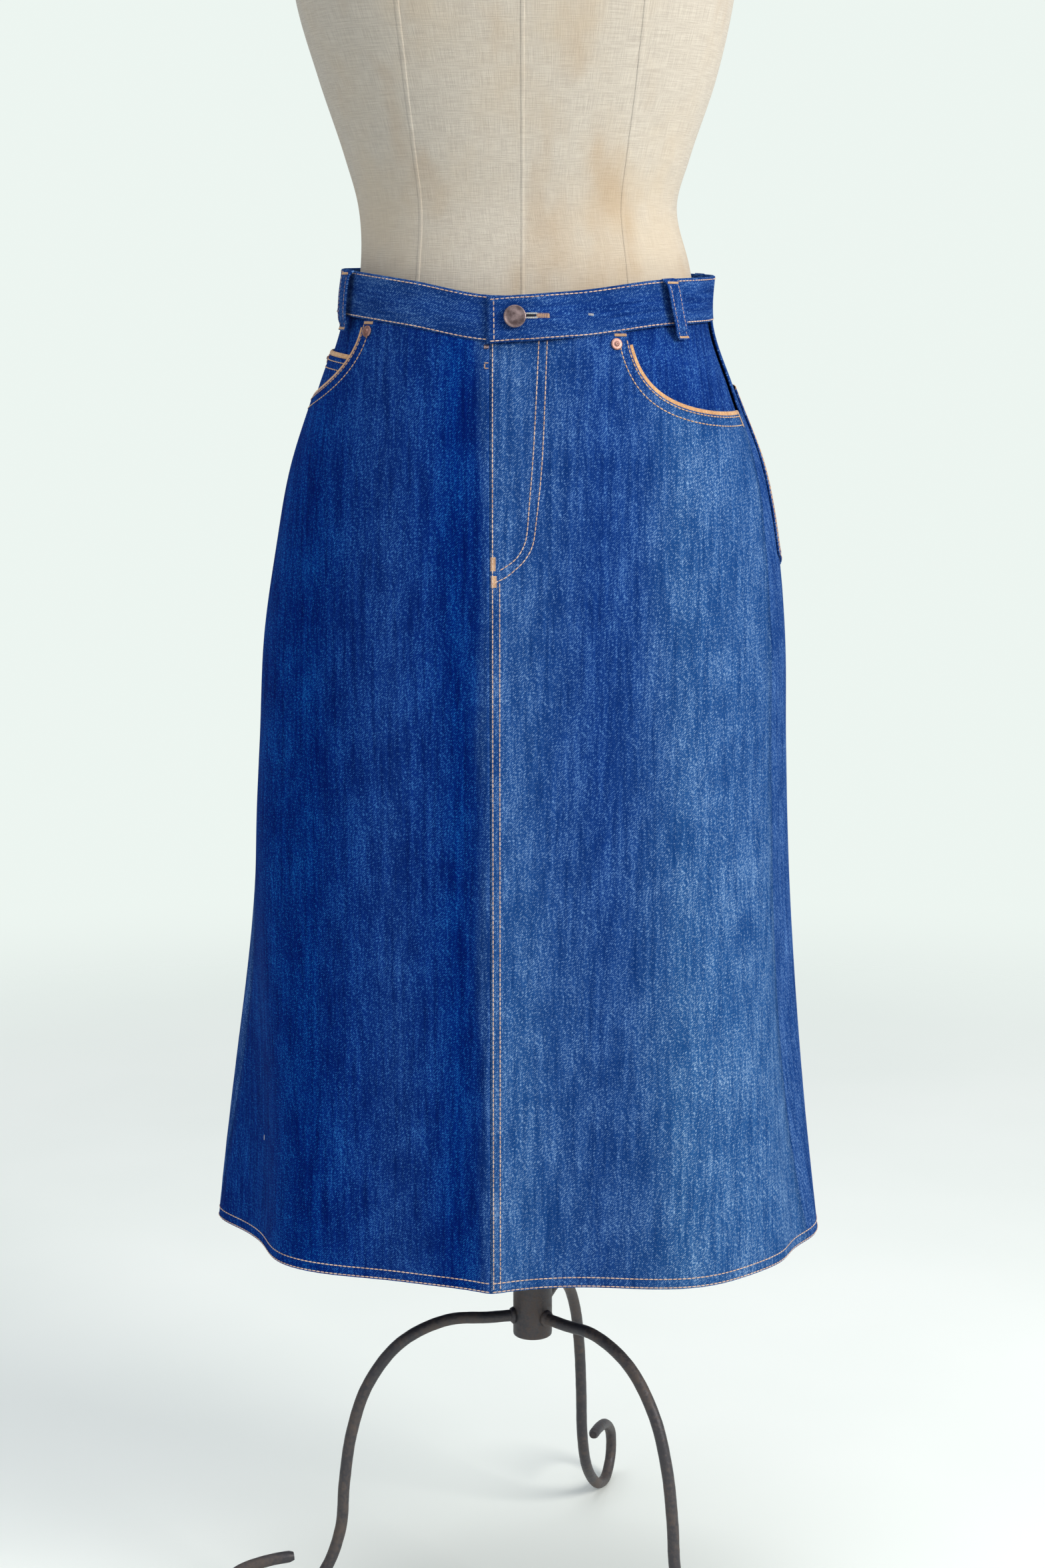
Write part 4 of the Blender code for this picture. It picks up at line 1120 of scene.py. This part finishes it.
# ---- Boards ------------------------------------------------------------------------------------
# A stained wooden cap closes the neck, and a board of the same wood closes the form underneath.
boards, tree, shader = new_look("dark stained wood", Coat_Weight=0.25, Coat_Roughness=0.3)
figure = noise(tree, own_place(tree), (14, 190, 190), 4.0, 0.6)
pores = noise(tree, own_place(tree), (60, 1500, 1500), 2.0)
stain = blend_colours(tree, spread(tree, figure, 0.3, 0.7), (0.070, 0.034, 0.018), (0.240, 0.125, 0.062))
finish_look(tree, shader, stain, pores, 0.0002, spread(tree, pores, 0.3, 0.7, 0.35, 0.6))
for name in ("neck_cap", "base_plate"):
    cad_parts[name].data.materials.clear()
    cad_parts[name].data.materials.append(boards)

# ---- Tripod ------------------------------------------------------------------------------------
# An iron pipe with three bent round rods welded near its foot. Each rod leaves level, arches down,
# meets the floor and curls up in a scroll. The iron is dark brown-grey with a dusting of rust.
iron, tree, shader = new_look("old iron", Metallic=0.55)
scale_spots = noise(tree, own_place(tree), 260, 4.0, 0.65)
drift = noise(tree, own_place(tree), 28, 3.0)
rust = sums(tree, "MULTIPLY_ADD", scale_spots, 0.6, sums(tree, "MULTIPLY", drift, 0.6))
rust = spread(tree, rust, 0.52, 0.80)
rusted = blend_colours(tree, rust, (0.055, 0.053, 0.060), (0.130, 0.105, 0.095))
finish_look(tree, shader, rusted, scale_spots, 0.0006, spread(tree, rust, 0.0, 1.0, 0.48, 0.78))

post_low, post_high = (Vector(corner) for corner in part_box("post"))
post_x, post_y = (post_low.x + post_high.x) / 2, (post_low.y + post_high.y) / 2
r = (post_high.x - post_low.x) / 2
tall = post_high.z - post_low.z
pipe = turned_round("iron_pipe", (
    (0.0, 0.012), (r - 0.0035, 0.012), (r - 0.0035, 0.0012), (r - 0.0028, 0.0), (r - 0.0010, 0.0),
    (r - 0.0002, 0.0007), (r, 0.0020), (r, 0.10), (r, 0.30), (r, tall), (0.0, tall)),
    (post_x, post_y, post_low.z), (0, 0, 1), 40)
finish_piece(pipe, iron, "iron", "post")

# a leg's centre line: reach from the pipe's axis, height
LEG_Z = 0.2640
LEG_ROUTE = (
    (r - 0.002, LEG_Z), (0.0360, LEG_Z), (0.0740, 0.2650), (0.1140, 0.2490), (0.1430, 0.2140),
    (0.1570, 0.1740), (0.1640, 0.1290), (0.1680, 0.0870), (0.1810, 0.0530), (0.2060, 0.0260),
    (0.2340, 0.0090), (0.2590, 0.0055), (0.2760, 0.0190), (0.2770, 0.0400), (0.2560, 0.0590),
    (0.2280, 0.0665), (0.2080, 0.0680),
)
ROD_RADIUS = 0.0050
route = np.array(LEG_ROUTE)
steps = np.linalg.norm(np.diff(route, axis=0), axis=1)
route_rows = [(s, *p) for s, p in zip(np.concatenate(([0.0], np.cumsum(steps))), LEG_ROUTE)]
for name, degrees in (("leg_rear", 74.0), ("leg_front_right", 194.0), ("leg_front_left", 314.0)):
    turn = math.radians(degrees)
    curve = bpy.data.curves.new(name + "_rod", "CURVE")
    curve.dimensions = "3D"
    curve.bevel_depth = ROD_RADIUS
    curve.bevel_resolution = 6
    curve.use_fill_caps = True
    spline = curve.splines.new("POLY")
    marks = np.linspace(0, route_rows[-1][0], 150)
    spline.points.add(len(marks) - 1)
    for k, (point, mark) in enumerate(zip(spline.points, marks)):
        reach, z = row_at(route_rows, mark)
        point.co = (post_x + reach * math.cos(turn), post_y + reach * math.sin(turn), max(z, ROD_RADIUS), 1.0)
        hammered = 0.985 + 0.015 * math.sin(k * 1.7 + degrees) * math.sin(k * 0.41)
        blunt = min((len(marks) - 1 - k) / 2.0, 1.0)
        point.radius = hammered * (0.72 + 0.28 * math.sqrt(1 - (1 - blunt)**2))
    finish_piece(placed(name + "_rod", curve), iron, "iron", name)
    # the weld round the rod's end: a low rough bead
    bm = bmesh.new()
    bmesh.ops.create_uvsphere(bm, u_segments=20, v_segments=12, radius=ROD_RADIUS * 1.38)
    for vert in bm.verts:
        vert.co *= 1 + 0.06 * math.sin(vert.co.x * 2100 + degrees) * math.sin(vert.co.z * 1700)
    bmesh.ops.scale(bm, vec=(0.55, 1.0, 1.0), verts=bm.verts)
    bmesh.ops.rotate(bm, cent=(0, 0, 0), matrix=Matrix.Rotation(turn, 3, "Z"), verts=bm.verts)
    reach = r + 0.0005
    bmesh.ops.translate(bm, verts=bm.verts, vec=(post_x + reach * math.cos(turn),
                                                 post_y + reach * math.sin(turn), LEG_Z))
    finish_piece(placed(name + "_weld", bm), iron, "iron")

# ---- Room, light and camera --------------------------------------------------------------------
# A plain pale floor that fades into the pale room, lit from the wearer's left by a large soft
# window, with a weaker fill from the other side.
FLOOR_RADIUS, FADE_START, FADE_END = 3.0, 1.3, 2.9
paper, tree, shader = new_look("pale floor", Roughness=0.85)
smudge = noise(tree, own_place(tree), 1.5, 3.0)
feed(tree, shader.inputs["Base Color"],
     blend_colours(tree, spread(tree, smudge, 0.3, 0.7), (0.88, 0.93, 0.905), (0.93, 0.97, 0.95)))
away = node(tree, "ShaderNodeVectorMath", operation="LENGTH")
tree.links.new(own_place(tree), away.inputs[0])
clear = node(tree, "ShaderNodeBsdfTransparent")
fade = node(tree, "ShaderNodeMixShader")
for socket, source in zip(fade.inputs, (spread(tree, away.outputs["Value"], FADE_START, FADE_END),
                                        shader.outputs[0], clear.outputs[0])):
    tree.links.new(source, socket)
tree.links.new(fade.outputs[0], tree.nodes["Material Output"].inputs["Surface"])
bm = bmesh.new()
bmesh.ops.create_circle(bm, cap_ends=True, segments=96, radius=FLOOR_RADIUS)
floor = placed("floor", bm)
floor.data.materials.append(paper)

scene = bpy.context.scene
scene.view_settings.view_transform = "Standard"
world = bpy.data.worlds.new("pale room")
scene.world = world
world.use_nodes = True
tree = world.node_tree
lighting = tree.nodes["Background"]
lighting.inputs["Color"].default_value = (0.93, 0.97, 1.0, 1.0)
lighting.inputs["Strength"].default_value = 0.48
seen = node(tree, "ShaderNodeBackground")
seen.inputs["Color"].default_value = (0.845, 0.915, 0.875, 1.0)
rays = node(tree, "ShaderNodeLightPath")
either = node(tree, "ShaderNodeMixShader")
for socket, source in zip(either.inputs, (rays.outputs["Is Camera Ray"], lighting.outputs[0],
                                          seen.outputs[0])):
    tree.links.new(source, socket)
tree.links.new(either.outputs[0], tree.nodes["World Output"].inputs["Surface"])

for name, place, aim, size, power, tint in (
        ("window", (2.4, -1.7, 2.0), (0, 0, 0.9), 1.4, 84.0, (1.0, 0.965, 0.90)),
        ("ceiling", (0.0, -0.3, 3.6), (0, 0.2, 0), 3.0, 50.0, (1.0, 1.0, 1.0)),
        ("fill", (-2.4, -2.2, 1.8), (0, 0, 0.9), 2.0, 8.0, (1.0, 1.0, 1.0))):
    lamp = bpy.data.lights.new(name, "AREA")
    lamp.shape = "DISK"
    lamp.color = tint
    lamp.size = size
    lamp.energy = power
    lit = placed(name, lamp)
    lit.location = Vector(place)
    lit.rotation_euler = (Vector(aim) - Vector(place)).to_track_quat("-Z", "Y").to_euler()

lens = bpy.data.cameras.new("camera")
lens.sensor_fit = "VERTICAL"
lens.sensor_height = 36.0
lens.lens = 62.4
camera = placed("camera", lens)
camera.location = (AXIS.x, AXIS.y - 2.2, 1.105)
camera.rotation_euler = (math.radians(90 - 9.9), 0, 0)
scene.camera = camera
